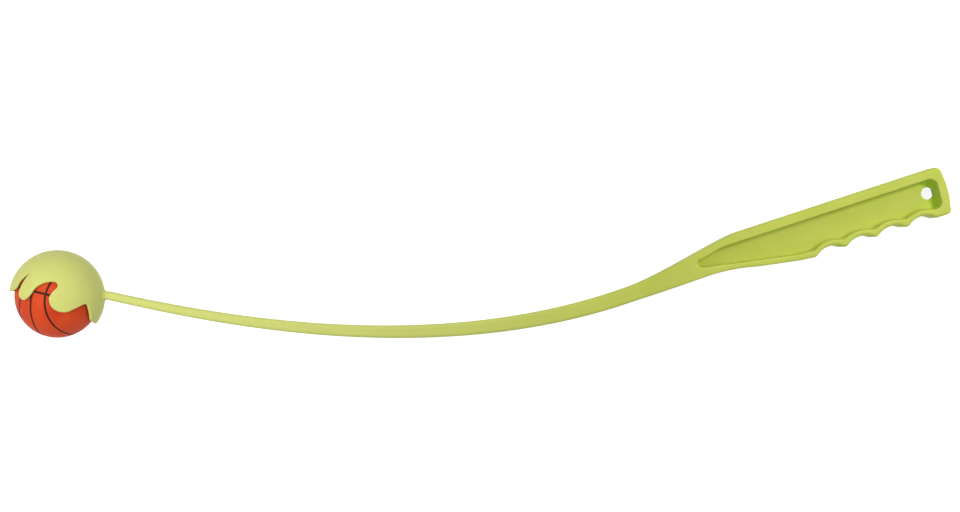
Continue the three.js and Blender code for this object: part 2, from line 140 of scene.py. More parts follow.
# The recess's lower edge before the finger rests: (share of the run, share of the drop).
RECESS_THROAT_SHARES = [(0.06, 0.09), (0.16, 0.2), (0.31, 0.395), (0.6, 0.73), (0.85, 1.03)]
# The recess's upper edge from its straight part to its nose, as two control points: (share of
# the run, share of the drop).
RECESS_SWEEP_SHARES = [(0.28, 0), (0.62, 0.74)]
# Of the recess's round start, the shares that belong to its upper and its lower run.
NOSE_UPPER_SHARE = 0.6
NOSE_LOWER_SHARE = 0.25
# How far apart the points of each run start, as a share of even lengths.
LOWER_SPACING_SHARE = 0.1
UPPER_SPACING_SHARE = 0.5
# How far a normal faces a side where the side's rounding starts, and where it is whole.
TOP_FACING_SHARES = (0, 1 / 2)
END_FACING_SHARES = (2 / 3, 1)
END_FLOOR_SHARES = (1 / 2, 1)
# The narrow rows along both edges of the handle's face, as a share of its breadth.
FACE_HOLD_SHARE = 0.03
# How far the floor's plate starts past the foot of its fillet and of the hole's lip.
FLOOR_START_SHARE = 1.1
LIP_START_SHARE = 1.3
# Steps of the runs of the handle's outline, and of the run of the recess beside each.
RUN_STEPS = {
    "throat": 110,
    "finger": 14,
    "heel_run": 8,
    "corner": 18,
    "end": 20,
    "top": 100,
    "sweep": 80,
}
# How finely curves are drawn before they are divided evenly: arcs, longer curves and the
# stem's, and how finely the stem's is then divided.
ARC_STEPS = 24
CURVE_STEPS = 200
STEM_CURVE_STEPS = 4000
STEM_LINE_STEPS = 2000

# The crowned part of a seam's top, as a share of its width, and its steps.
SEAM_TOP_SHARE = 0.8
SEAM_TOP_STEPS = 6
# The least sine of the angle from a seam's pole by which its slant is divided.
LEAST_SINE = 0.1

# Points that count as one, in metres: ends of runs that meet, and points that are welded.
MEETING = 1e-7
WELD = 1e-6
# The least share of the faces that joined pieces must keep.
LEAST_KEPT_SHARE = 0.9
QUARTER = math.pi / 2

# Where the plastic's pale colour, a painted sheen in place of the light's white sheen on the cup and
# stem, starts to leave the stem, and where it ends, along the row.
PAINTED_SHEEN_RUN = (-0.16, 0.22)
# Where its hollows start to take the closed-in colour, a brighter green painted in for the light in
# their shade, and where they have it, along the row.
PAINTED_GLOW_RUN = (0.2, 0.29)
# How far round a point its hollow is felt, and how open it is where it counts as closed in and where it
# no longer does. The more closed in, the more of the painted glow it takes.
PAINTED_GLOW_REACH = 0.018
PAINTED_GLOW_SHARES = (0.25, 0.7)
# Patterns of the materials: scale, detail, the values between which the pattern grows, and
# what it grows from and to.
PLASTIC_DRIFT = (26, 3, 0.35, 0.7, 0, 1)
PLASTIC_WEAR = (240, 4, 0.3, 0.7, 0.42, 0.54)
RUBBER_DRIFT = (60, 4, 0.4, 0.72, 0, 1)
RUBBER_WEAR = (400, 3, 0.3, 0.7, 0.52, 0.66)
SEAM_DUST = (500, 3, 0.5, 0.8, 0, 1)
SEAM_WEAR = (300, 3, 0.3, 0.7, 0.6, 0.75)
# Reliefs of the materials: scale, detail, strength and height.
PLASTIC_GRAIN = (2600, 2, 0.12, 0.0001)
PLASTIC_WAVES = (130, 2, 0.15, 0.0004)
SEAM_GRAIN = (2600, 2, 0.15, 0.0001)
# The pebbles of the ball's skin: scale, and strength and height of their relief.
PEBBLE_SCALE = 1500
PEBBLE_RELIEF = (0.25, 0.0002)
# How much lighter the dust on a seam is than the seam.
DUST_GAIN = 2.2
# Even values of the materials, by the sockets of their shaders.
PLASTIC_SOCKETS = {
    "IOR": 1.49,
    "Specular IOR Level": 0.2,
    "Subsurface Weight": 0.35,
    "Subsurface Radius": (0.0015, 0.004, 0.0006),
    "Subsurface Scale": 1.0,
}
RUBBER_SOCKETS = {"IOR": 1.5, "Specular IOR Level": 0.18}
SEAM_SOCKETS = {"Specular IOR Level": 0.2}
FLOOR_SOCKETS = {"Roughness": 0.9, "Specular IOR Level": 0.1, "Emission Color": (1, 1, 1, 1)}

# What the stage's settings hold for each lamp.
LAMP_NAMES = ("handle", "cup", "top")
LAMP_SETTINGS = ("lamp", "target", "size", "power", "spread")


def length(name, description, default):
    """A size of the object, in metres."""
    return FloatProperty(
        name=name, description=description, default=default, min=0.0, unit="LENGTH", precision=5
    )


def angle(name, description, degrees):
    """An angle of the object, given in degrees."""
    return FloatProperty(
        name=name, description=description, default=math.radians(degrees), subtype="ANGLE"
    )


def share(name, description, default):
    """A share of another size."""
    return FloatProperty(name=name, description=description, default=default, subtype="FACTOR")


def number(name, description, default):
    """A plain value."""
    return FloatProperty(name=name, description=description, default=default, subtype="NONE")


def position(name, description, default):
    """A place in metres."""
    return FloatVectorProperty(
        name=name, description=description, default=default, subtype="TRANSLATION"
    )


def colour(name, description, default):
    """A colour in linear values."""
    return FloatVectorProperty(
        name=name, description=description, default=default, size=3, min=0.0, max=1.0, subtype="COLOR"
    )


def steps(name, description, default):
    """How finely a surface is divided."""
    return IntProperty(name=name, description=description, default=default, min=1)


class BallSizes(bpy.types.PropertyGroup):
    diameter: length("Ball diameter", "Across the ball's skin", 0.060)
    seam_width: length("Seam width", "Across a dark seam line", 0.0016)
    seam_rise: length("Seam depth below the skin", "From the skin down to a seam's crown", 0.0001)
    seam_crown: length("Seam crown", "How much a seam's middle stands over its edges", 0.0001)
    seam_root: length("Seam root", "From the skin down to the underside of a seam", 0.0009)
    groove_depth: length("Groove depth", "From the skin to the floor of a seam's groove", 0.0006)
    groove_width: length("Groove width", "Across the groove at the skin", 0.0026)
    oval_wide: angle("Oval, wide", "From the ball's side pole to the oval on its wide axis", 70)
    oval_narrow: angle("Oval, narrow", "From the side pole to the oval on its narrow axis", 54.6)
    turn: FloatVectorProperty(
        name="Turn in the cup",
        description="How the ball lies in the cup, about the side view's axes",
        default=[math.radians(degrees) for degrees in (-7.8, -23, -14.5)],
        size=3,
        subtype="EULER",
    )
    face_steps: steps("Skin divisions", "Rows on each of the six sides of the skin", 90)
    seam_steps: steps("Seam divisions", "Stations round each seam", 200)


class CupSizes(bpy.types.PropertyGroup):
    wall: length("Wall", "Thickness of the cup and its claws", 0.002)
    play: length("Play", "Between the ball and the cup", 0.0014)
    seat_gap: length("Seat gap", "Between the ball and the bottom of the cup", 0.0003)
    opening_tilt: angle("Opening tilt", "Of the opening's axis from straight down", 20)
    claw_reach: angle("Claw reach", "Of the longest claw past the ball's equator", 14.8)
    root_sag: angle("Root sag", "Dip of the mesh rows between two notches", 5)
    outer_lip: length("Outer lip radius", "Rounding of the claws' outer edges", 0.0009)
    inner_lip: length("Inner lip radius", "Rounding of the claws' inner edges", 0.0005)
    fineness: steps("Column divisions", "Columns of the fine mesh for each column of the CAD", 5)
    dome_rows: steps("Dome rows", "Rows from the pole to the roots of the claws", 24)
    root_rows: steps("Root rows", "Rows from the roots to the notches", 8)
    blade_rows: steps("Blade rows", "Rows from a notch to the tip", 26)
    lip_steps: steps("Lip steps", "Steps of each rounded edge", 5)


class StemSizes(bpy.types.PropertyGroup):
    reach: length("Reach", "From the cup to the handle, along", 0.3753)
    rise: length("Rise", "From the cup to the handle, up", 0.0009)
    root_angle: angle("Root", "Where the stem leaves the cup, above its middle", 2.8)
    start_angle: angle("Start slope", "Of the stem where it leaves the cup", -12.1)
    end_angle: angle("End slope", "Of the stem where it meets the handle", 19.8)
    start_pull: share("Start pull", "Lever of the curve's start, as a share of its chord", 0.152)
    end_pull: share("End pull", "Lever of the curve's end, as a share of its chord", 0.4255)
    start_depth: length("Start depth", "In the side view, at the cup", 0.0058)
    end_depth: length("End depth", "In the side view, at the handle", 0.0114)
    start_width: length("Start width", "Across the side view, at the cup", 0.009)
    end_width: length("End width", "Across the side view, at the handle", 0.012)
    start_edge: length("Start edge radius", "Rounding of the stem's edges at the cup", 0.0022)
    neck_fillet: length("Neck fillet", "Between the stem and the cup", 0.003)
    stations: steps("Stations", "Sections along the stem", 150)
    neck_steps: steps("Neck steps", "Steps of the neck's fillet", 8)


class HandleSizes(bpy.types.PropertyGroup):
    slope: angle("Handle slope", "Of the handle's top edge in the side view", 18.15)
    reach: length("Length", "From the stem to the end of the handle", 0.2342)
    top: length("Top", "From the handle's axis to its top edge", 0.0184)
    bottom: length("Bottom", "From the handle's axis to the finger tips", 0.0151)
    width: length("Width", "Across the side view", 0.025)
    edge: length("Edge radius", "Rounding of the outer edges", 0.0024)
    end_edge: length("End edge radius", "Rounding of the outer edges at the end", 0.0028)
    throat_edge: length("Throat edge radius", "Rounding of the throat's lower edges", 0.0017)
    finger_edge: length("Finger edge radius", "Rounding of the outer edges at the fingers", 0.0024)
    flare: length("Flare length", "Over which the stem's width grows to the handle's", 0.060)
    top_sweep: length("Top sweep", "Over which the top rises to its full height", 0.082)
    fingers: steps("Finger rests", "How many fingers the handle has rests for", 4)
    finger_pitch: length("Finger pitch", "From one finger rest to the next", 0.02285)
    finger_depth: length("Finger depth", "Of each finger rest", 0.0039)
    finger_tip: length("Finger tip radius", "Between two finger rests", 0.004)
    finger_lead: angle("Finger lead", "Of the first tip before its lowest point", 10)
    finger_fall: length("Finger fall", "Of the line of the tips towards the heel", 0.0003)
    first_drop: length("First drop", "Of the first tip below the line of the tips", 0.00045)
    heel: length("Heel", "From the last tip to the end", 0.0128)
    heel_drop: length("Heel drop", "Of the heel below the finger tips", 0.0006)
    heel_radius: length("Heel radius", "Of the lower corner of the end", 0.0039)
    crown_radius: length("Crown radius", "Of the upper corner of the end", 0.0048)
    end_crown: length("End crown", "How far the end face bulges", 0.00215)
    corner_lean: angle("Corner lean", "Of the end's corners past the square", 6)
    web: length("Web", "Thickness between the two recesses", 0.003)
    top_rim: length("Top rim", "Between the top edge and the recess", 0.0066)
    end_rim: length("End rim", "Between the end and the recess", 0.0066)
    finger_rim: length("Finger rim", "Between the finger tips and the recess", 0.00555)
    heel_rim: length("Heel rim", "Below the recess at the heel", 0.00525)
    wave_depth: length("Recess wave", "Of the recess's edge over each finger rest", 0.00215)
    wave_tip: length("Recess wave radius", "Between two waves of the recess's edge", 0.006)
    wave_lead: angle("Wave lead", "Of the first wave before its lowest point", 5)
    wave_drop: length("Recess first drop", "Of the recess's first wave below the next one", 0.0012)
    recess_sweep: length("Recess sweep", "Where the recess's top becomes straight", 0.073)
    nose_start: length("Recess start", "From the stem to the recess", 0.0497)
    nose_radius: length("Nose radius", "Of the recess's start", 0.0030)
    nose_height: length("Nose height", "Of the recess's start over the axis", 0.0053)
    nose_lean: angle("Nose lean", "Of the nose's ends past the square", 20)
    recess_corner: length("Recess corner", "Lower corner radius of the recess", 0.005)
    recess_top_corner: length("Recess top corner", "Upper corner radius of the recess", 0.005)
    recess_step: length("Recess step", "From the recess's end back to its lower corner", 0.0008)
    recess_lean: angle("Recess lean", "Of the recess's end where it leaves its lower corner", 8)
    floor_radius: length("Floor radius", "Between the recess's walls and the web", 0.0020)
    end_floor: length("End floor radius", "Between the end wall and the web, beside the hole", 0.0007)
    mouth_radius: length("Mouth radius", "Rounding of the recess's edge at its top", 0.0007)
    finger_mouth: length("Finger mouth radius", "Rounding of the recess's edge at the fingers", 0.0012)
    nose_mouth: length("Nose mouth radius", "Rounding of the recess's edge at its start", 0.0015)
    draft: length("Draft", "How far the recess narrows towards the web", 0.0004)
    hole: length("Hanging hole", "Diameter of the hole", 0.0087)
    hole_from_end: length("Hole from end", "From the end to the hole's middle", 0.0129)
    hole_height: length("Hole height", "Of the hole's middle over the axis", 0.0022)
    hole_lip: length("Hole lip", "Rounding of the hole's edges", 0.0003)
    corner_steps: steps("Corner steps", "Steps of each rounded edge", 6)
    wall_steps: steps("Wall steps", "Steps of each straight wall", 4)
    face_steps: steps("Face steps", "Steps across the rim's flat face", 12)
    hole_steps: steps("Hole steps", "Steps round the hole", 72)


class LyingPlace(bpy.types.PropertyGroup):
    lean: angle("Lean", "Of the thrower's middle plane, about its length", 8.4898)
    dip: angle("Dip", "Of the thrower's length below the level", 2.7241)
    cup: position("Cup", "Middle of the cup", (-0.300100, -0.031372, 0.033334))


class Finishes(bpy.types.PropertyGroup):
    plastic: colour("Lime plastic", "Colour of the moulding", (0.57, 0.655, 0.112))
    plastic_deep: colour("Lime plastic, deep", "Colour of its darker drifts", (0.52, 0.615, 0.088))
    # A painted sheen: a paler colour on the cup and stem, in place of the white sheen of the light on
    # them.
    plastic_painted_sheen: colour("Lime plastic, pale", "Colour of its thin end", (0.65, 0.71, 0.205))
    # A painted glow: a brighter green painted into the handle's hollows, in place of the green light in
    # their shade.
    plastic_painted_glow: colour("Lime plastic, closed in", "Its colour deep in a hollow", (0.61, 0.92, 0.05))
    rubber: colour("Orange rubber", "Colour of the ball", (0.70, 0.074, 0.014))
    rubber_deep: colour("Orange rubber, deep", "Colour of its darker drifts", (0.60, 0.050, 0.010))
    seam: colour("Seam", "Colour of the ball's seams", (0.045, 0.008, 0.005))
    floor: colour("Floor", "Colour of the floor", (0.45, 0.45, 0.45))


class StageSettings(bpy.types.PropertyGroup):
    camera_distance: length("Camera distance", "From the thrower's middle plane", 1.350)
    camera_along: length("Camera along", "From the middle of the cup towards the handle", 0.3006)
    camera_up: length("Camera up", "Above the middle of the cup in the side view", 0.0291)
    lens: number("Lens", "Focal length in millimetres", 71.2)
    floor_size: length("Floor size", "Along each side of the floor", 8.0)
    handle_lamp: position("Handle lamp", "Where it stands in the side view", (0.96, 0.35, 0.80))
    handle_target: position("Handle lamp's target", "Where it points in the side view", (0.53, 0.07, 0))
    handle_size: length("Handle lamp's size", "Along each side of the lamp", 0.22)
    handle_power: number("Handle lamp's power", "In watts", 0.64)
    handle_spread: angle("Handle lamp's spread", "Of its cone of light", 70)
    cup_lamp: position("Cup lamp", "Where it stands in the side view", (-0.20, 0.02, 0.58))
    cup_target: position("Cup lamp's target", "Where it points in the side view", (-0.01, -0.01, 0))
    cup_size: length("Cup lamp's size", "Along each side of the lamp", 0.30)
    cup_power: number("Cup lamp's power", "In watts", 0.34)
    cup_spread: angle("Cup lamp's spread", "Of its cone of light", 65)
    top_lamp: position("Top lamp", "Where it stands in the side view", (0.55, 0.80, 0.60))
    top_target: position("Top lamp's target", "Where it points in the side view", (0.47, 0.05, 0))
    top_size: length("Top lamp's size", "Along each side of the lamp", 0.50)
    top_power: number("Top lamp's power", "In watts", 0.3)
    top_spread: angle("Top lamp's spread", "Of its cone of light", 90)
    lamp_colour: colour("Lamp colour", "Of all three lamps", (1.0, 0.92, 0.88))
    sky: number("Sky", "Strength of the even light", 0.48)
    floor_glow: number("Floor glow", "Of the floor as it is seen", 0.88)


# Shares and directions


def smoothed(grown):
    """A share that eases in and out between 0 and 1."""
    grown = np.clip(grown, 0, 1)
    return grown * grown * (3 - 2 * grown)


def blend(one, other, grown):
    """What lies between two values, at a share of the way."""
    return one + (other - one) * grown


def between(start, end, shares):
    """Points between two corners, each at its shares of the way along and up."""
    return blend(np.array(start), np.array(end), np.array(shares))


def heading(turn):
    """The direction at an angle in the side view."""
    return np.array([math.cos(turn), math.sin(turn)])


def quarter_turns(count):
    """The angles of a quarter turn, in equal steps."""
    return np.linspace(0, QUARTER, count + 1)


def unit(vectors):
    """Vectors brought to length 1."""
    return vectors / np.linalg.norm(vectors, axis=1)[:, None]


def facing(normals, way, shares):
    """How far normals face a way: 0 up to the first share of it, 1 from the second."""
    return smoothed((normals @ way - shares[0]) / (shares[1] - shares[0]))


# Curves in the side view


def catmull_rom(points, places):
    """Points of the curve through the given ones, at places that are counted in points."""
    points = np.asarray(points, float)
    last = len(points) - 1
    places = np.clip(np.asarray(places, float), 0, last)
    first = np.minimum(places.astype(int), last - 1)
    t = (places - first)[:, None]
    before = points[np.maximum(first - 1, 0)]
    start = points[first]
    end = points[first + 1]
    after = points[np.minimum(first + 2, last)]
    leave = (end - before) / 2
    arrive = (after - start) / 2
    return (
        (2 * start - 2 * end + leave + arrive) * t**3
        + (-3 * start + 3 * end - 2 * leave - arrive) * t**2
        + leave * t
        + start
    )


def bezier(points, count):
    """A Bezier curve through its control points, in equal steps of its parameter."""
    t = np.linspace(0, 1, count + 1)[:, None]
    rows = [np.repeat(np.asarray(point, float)[None], count + 1, axis=0) for point in points]
    while len(rows) > 1:
        rows = [one * (1 - t) + other * t for one, other in zip(rows, rows[1:])]
    return rows[0]


def through(points):
    """The curve through the given points, in short steps."""
    return catmull_rom(points, np.linspace(0, len(points) - 1, CURVE_STEPS))


def measured(points, lengths, places):
    """What a line's points come to at places measured along it, from each point's length."""
    return np.stack([np.interp(places, lengths, values) for values in points.T], -1)


def resampled(points, count, even=1):
    """The same line in equal lengths, or with less than an even share of it near its start."""
    points = np.asarray(points, float)
    gone = np.r_[0, np.cumsum(np.linalg.norm(np.diff(points, axis=0), axis=1))]
    way = np.linspace(0, 1, count + 1)
    return measured(points, gone, gone[-1] * way * (even + (1 - even) * way))


def arc(middle, radius, start, end, count):
    """An arc about a middle, from one angle to another."""
    turn = np.linspace(start, end, count + 1)
    return np.asarray(middle) + radius * np.stack([np.cos(turn), np.sin(turn)], 1)


def joined(*runs):
    """Runs of points end to end, with a shared end kept once."""
    kept = [np.asarray(runs[0], float)]
    for run in runs[1:]:
        run = np.asarray(run, float)
        meets = np.linalg.norm(run[0] - kept[-1][-1]) < MEETING
        kept.append(run[1:] if meets else run)
    return np.concatenate(kept)


def left_normals(points, closed):
    """Unit normals on the left of a line's way."""
    if closed:
        along = np.roll(points, -1, axis=0) - np.roll(points, 1, axis=0)
    else:
        along = np.gradient(points, axis=0)
    along = unit(along)
    return np.stack([-along[:, 1], along[:, 0]], 1)


# Meshes


class Skin:
    """Points and faces of a surface that is put together from grids."""

    def __init__(self):
        self.points = []
        self.faces = []
        self.count = 0

    def add_points(self, points):
        """Adds points, and gives the number of the first of them."""
        points = np.asarray(points, float).reshape(-1, 3)
        self.points.append(points)
        first = self.count
        self.count += len(points)
        return first

    def add_grid(self, rows, wraps=False):
        """Quads over rows of points, which close into rings where wraps is set."""
        rows = np.asarray(rows, float)
        tall, wide = rows.shape[:2]
        first = self.add_points(rows)
        for i in range(tall - 1):
            for j in range(wide if wraps else wide - 1):
                a = first + i * wide + j
                b = first + i * wide + (j + 1) % wide
                self.faces.append((a, b, b + wide, a + wide))

    def add_fan(self, ring, middle):
        """Triangles from a closed ring to a point."""
        first = self.add_points(np.vstack([ring, middle]))
        last = first + len(ring)
        for k in range(len(ring)):
            self.faces.append((first + k, first + (k + 1) % len(ring), last))

    def add_plate(self, loops):
        """A flat plate between an outer loop and the loops of its holes."""
        plate = bmesh.new()
        for loop in loops:
            corners = [plate.verts.new(point) for point in loop]
            for one, other in zip(corners, corners[1:] + corners[:1]):
                plate.edges.new((one, other))
        bmesh.ops.triangle_fill(plate, use_beauty=True, edges=plate.edges[:])
        plate.verts.index_update()
        first = self.add_points([vert.co[:] for vert in plate.verts])
        self.faces += [tuple(first + vert.index for vert in face.verts) for face in plate.faces]
        plate.free()

    def made(self, name, placing):
        """A smooth object in the row's frame, welded, with its faces turned outwards."""
        made = bpy.data.meshes.new(name)
        points = np.concatenate(self.points)
        made.from_pydata(points.tolist(), [], self.faces)
        shape = bmesh.new()
        shape.from_mesh(made)
        bmesh.ops.remove_doubles(shape, verts=shape.verts, dist=WELD)
        bmesh.ops.dissolve_degenerate(shape, edges=shape.edges, dist=WELD)
        bmesh.ops.transform(shape, matrix=placing, verts=shape.verts)
        bmesh.ops.recalc_face_normals(shape, faces=shape.faces)
        shape.to_mesh(made)
        shape.free()
        made.shade_smooth()
        piece = bpy.data.objects.new(name, made)
        bpy.context.scene.collection.objects.link(piece)
        return piece


def united(piece, others):
    """Joins the other closed objects to the first, as one closed skin."""
    faces = sum(len(part.data.polygons) for part in (piece, *others))
    for other in others:
        join = piece.modifiers.new("join", "BOOLEAN")
        join.operation = "UNION"
        join.solver = "MANIFOLD"
        join.object = other
    graph = bpy.context.evaluated_depsgraph_get()
    made = bpy.data.meshes.new_from_object(piece.evaluated_get(graph))
    piece.modifiers.clear()
    old = piece.data
    piece.data = made
    bpy.data.meshes.remove(old)
    for other in others:
        bpy.data.objects.remove(other)
    made.shade_smooth()
    if len(made.polygons) < LEAST_KEPT_SHARE * faces:
        raise RuntimeError(f"{piece.name} lost a part as it was joined")
    return piece


def side_view_to_row(place):
    """The way from the side view, with its zero in the middle of the cup, to the row's frame."""
    turn = Matrix.Rotation(place.dip, 4, "Y") @ Matrix.Rotation(place.lean, 4, "X")
    return Matrix.Translation(place.cup) @ turn


# Cup


def mirrored_half(tip_share, half):
    """A whole claw's outline from one half of it, in order of azimuth."""
    other = [(2 * tip_share - azimuth, latitude) for azimuth, latitude in half]
    return sorted({*other, *half})


def claws():
    """Each claw's outline shares, its two corners and its columns, round the whole cup."""
    front = (mirrored_half(0, FRONT_CLAW[0]), *FRONT_CLAW[1:])
    near = [SIDE_CLAW, WAVE_CLAW]
    rear = (mirrored_half(1, REAR_CLAW[0]), *REAR_CLAW[1:])
    far = []
    for outline, corners, columns in reversed(near):
        last = len(outline) - 1
        turned = [(2 - azimuth, latitude) for azimuth, latitude in reversed(outline)]
        far.append((turned, (last - corners[1], last - corners[0]), columns))
    return [front, *near, rear, *far]


def directions(angles):
    """Unit vectors in the side view for azimuths and latitudes on the upright cup."""
    azimuth, latitude = angles[..., 0], angles[..., 1]
    return np.stack(
        [
            -np.cos(latitude) * np.cos(azimuth),
            -np.sin(latitude),
            np.cos(latitude) * np.sin(azimuth),
        ],
        axis=-1,
    )


def angles_of(vectors, near_azimuth):
    """Azimuths and latitudes of unit vectors, with each azimuth in the turn of the one given."""
    azimuth = np.arctan2(vectors[..., 2], -vectors[..., 0])
    azimuth += 2 * np.pi * np.round((near_azimuth - azimuth) / (2 * np.pi))
    return np.stack([azimuth, -np.arcsin(np.clip(vectors[..., 1], -1, 1))], axis=-1)


class Rim:
    """The closed edge of all the claws, as one curve on the cup."""

    def __init__(self, outlines, claw_reach):
        shares = [point for outline, _, _ in outlines for point in outline[:-1]]
        self.count = len(shares)
        self.angles = np.array(shares) * (np.pi, claw_reach)

    def at(self, places):
        """Azimuth and latitude at places counted in outline points."""
        turns = (2 * np.pi, 0)
        around = np.concatenate([self.angles - turns, self.angles, self.angles + turns])
        return catmull_rom(around, np.asarray(places) + self.count)

    def inset(self, places, angle_in):
        """The rim moved into the material by an angle as seen from the cup's middle."""
        here = self.at(places)
        outward = directions(here)
        ahead, behind = (directions(self.at(places + way * RIM_NUDGE)) for way in (1, -1))
        inward = unit(np.cross(outward, ahead - behind))
        moved = np.cos(angle_in) * outward + np.sin(angle_in) * inward
        return angles_of(moved, here[:, 0])


def claw_grid(rim, first, outline, corners, columns, sizes, angle_in):
    """A claw's rows of azimuth and latitude, from its root to its tip, inside its lip."""
    last = len(outline) - 1
    left_corner, right_corner = corners
    climb = np.linspace(0, 1, sizes.blade_rows + 1)
    left = rim.inset(first + climb * left_corner, angle_in)
    right = rim.inset(first + last - climb * (last - right_corner), angle_in)
    across = np.linspace(0, 1, columns * sizes.fineness + 1)
    tip = rim.inset(first + left_corner + across * (right_corner - left_corner), angle_in)
    chord = blend(tip[0], tip[-1], across[:, None])
    sag = np.stack([np.zeros_like(across), 4 * across * (1 - across) * sizes.root_sag], 1)
    rows = []
    dome_edge = DOME_EDGE_SHARE * sizes.claw_reach
    for k in range(sizes.root_rows):
        grown = k / sizes.root_rows
        ends = np.stack([left[0], right[0]])
        ends[:, 1] = blend(dome_edge, ends[:, 1], grown)
        rows.append(blend(ends[0], ends[1], across[:, None]) - sag * grown)
    for k, gone in enumerate(climb):
        line = blend(left[k], right[k], across[:, None])
        rows.append(line + (tip - chord) * gone**2 - sag * (1 - gone) ** 2)
    return np.array(rows)


def lip_profile(sizes):
    """The claws' edge in section: (distance in from the rim, height over the wall's middle)."""
    half = sizes.wall / 2
    outer, inner = sizes.outer_lip, sizes.inner_lip
    upper = arc((outer, half - outer), outer, QUARTER, 2 * QUARTER, sizes.lip_steps)
    lower = arc((inner, inner - half), inner, 2 * QUARTER, 3 * QUARTER, sizes.lip_steps)
    return joined(upper, lower, [(outer, -half)])


def cup_skin(ball, sizes):
    """The cup and its claws, round the middle of the cup, with the opening straight down."""
    inner = ball.diameter / 2 + sizes.play
    middle = inner + sizes.wall / 2
    outer = inner + sizes.wall
    outlines = claws()
    rim = Rim(outlines, sizes.claw_reach)
    skin = Skin()
    first = 0
    for outline, corners, columns in outlines:
        rows = claw_grid(rim, first, outline, corners, columns, sizes, sizes.outer_lip / middle)
        blade = rows[sizes.root_rows :]
        dome = []
        for k in range(sizes.dome_rows):
            row = rows[0].copy()
            row[:, 1] = blend(-QUARTER, row[:, 1], k / sizes.dome_rows)
            dome.append(row)
        grid = directions(np.concatenate([dome, rows]))
        skin.add_grid(grid * outer)
        skin.add_grid(grid * inner)
        last = len(outline) - 1
        climb = np.linspace(0, 1, len(blade))
        across = np.linspace(0, 1, blade.shape[1])
        left_corner, right_corner = corners
        edge = joined(
            (first + climb * left_corner)[:, None],
            (first + left_corner + across * (right_corner - left_corner))[:, None],
            (first + last - climb * (last - right_corner))[::-1, None],
        )[:, 0]
        rings = []
        for inset, height in lip_profile(sizes):
            rings.append(directions(rim.inset(edge, inset / middle)) * (middle + height))
        skin.add_grid(rings)
        first += last
    return skin


# Stem


def stem_line(cup_radius, stem):
    """The stem's middle line, from the cup's skin to the handle, in short equal steps."""
    root = cup_radius * heading(stem.root_angle)
    end = root + (stem.reach, stem.rise)
    chord = np.linalg.norm(end - root)
    leave = root + heading(stem.start_angle) * stem.start_pull * chord
    arrive = end - heading(stem.end_angle) * stem.end_pull * chord
    return resampled(bezier([root, leave, arrive, end], STEM_CURVE_STEPS), STEM_LINE_STEPS)


def section(depth, width, edge, handle):
    """The closed ring of a rounded section, from the middle of the stem's underside.

    Each point is (across the side view upwards, out towards the viewer)."""
    low = -depth / 2
    out = width / 2
    wall = resampled([(low, 0), (low, out - edge)], handle.wall_steps)
    corner = arc((low + edge, out - edge), edge, 2 * QUARTER, QUARTER, handle.corner_steps)
    face = resampled([(low + edge, out), (0, out)], handle.face_steps // 2)
    lower = joined(wall, corner, face)
    near = joined(lower, (lower * (-1, 1))[::-1])
    return np.concatenate([near, (near * (1, -1))[-2:0:-1]])


def stem_rings(line, stem, handle):
    """Closed rings of points across the stem, from its neck to the handle."""
    total = np.linalg.norm(np.diff(line, axis=0), axis=1).sum()
    lengths = np.linspace(0, total, len(line))
    along = np.gradient(line, axis=0)
    along[-1] = heading(stem.end_angle)
    along = unit(along)
    rings = []
    for gone in np.linspace(stem.neck_fillet, total, stem.stations + 1):
        middle = measured(line, lengths, gone)
        way = measured(along, lengths, gone)
        grown = gone / total
        depth = blend(stem.start_depth, stem.end_depth, grown)
        width = blend(stem.start_width, stem.end_width, grown)
        ring = section(depth, width, blend(stem.start_edge, handle.edge, grown), handle)
        flat = middle + ring[:, :1] * (-way[1], way[0])
        rings.append(np.column_stack([flat, ring[:, 1]]))
    return np.array(rings)


def neck_rings(throat, middle, cup_radius, cup, stem):
    """Rings of the fillet that spreads the stem's root over the cup, from inside the wall."""
    foot = unit(throat) * cup_radius
    flared = unit(foot + unit(foot - middle) * stem.neck_fillet) * cup_radius
    rings = [flared * (1 - cup.wall / 2 / cup_radius)]
    for turn in quarter_turns(stem.neck_steps)[:-1]:
        spread = (flared - foot) * (1 - math.sin(turn))
        rings.append(foot + spread + (throat - foot) * (1 - math.cos(turn)))
    return np.array(rings)


# Handle


def first_tip_of(handle):
    """How far the first finger tip is from the stem."""
    return handle.reach - handle.heel - handle.fingers * handle.finger_pitch


def stem_up(handle, stem):
    """The way across the stem's end, upwards in the handle's axes."""
    return heading(stem.end_angle - handle.slope + QUARTER)


def finger_wave(handle, level, depth, tip_radius, lead, drops):
    """Rounded tips and hollows, one hollow for each finger, in equal steps.

    The line of the tips falls towards the heel. The drops are how far its first and its last
    tip stand below it."""
    first = first_tip_of(handle)
    pitch = handle.finger_pitch
    slope = 2 * math.atan(depth / (pitch / 2))
    hollow_radius = pitch / 2 / math.sin(slope) - tip_radius
    runs = []
    for finger in range(handle.fingers + 1):
        tip = (first + finger * pitch, level + tip_radius)
        start = -QUARTER - (lead if finger == 0 else slope)
        end = -QUARTER if finger == handle.fingers else slope - QUARTER
        runs.append(arc(tip, tip_radius, start, end, RUN_STEPS["finger"]))
        if finger < handle.fingers:
            hollow = (tip[0] + pitch / 2, level + depth - hollow_radius)
            ends = (QUARTER + slope, QUARTER - slope)
            runs.append(arc(hollow, hollow_radius, *ends, RUN_STEPS["finger"]))
    wave = joined(*runs)
    ahead = smoothed((first + pitch / 2 - wave[:, 0]) / (pitch / 2))
    behind = smoothed((wave[:, 0] - tip[0] + pitch / 2) / (pitch / 2))
    along = (wave[:, 0] - first) / (handle.fingers * pitch)
    wave[:, 1] -= handle.finger_fall * along + drops[0] * ahead + drops[1] * behind
    return wave


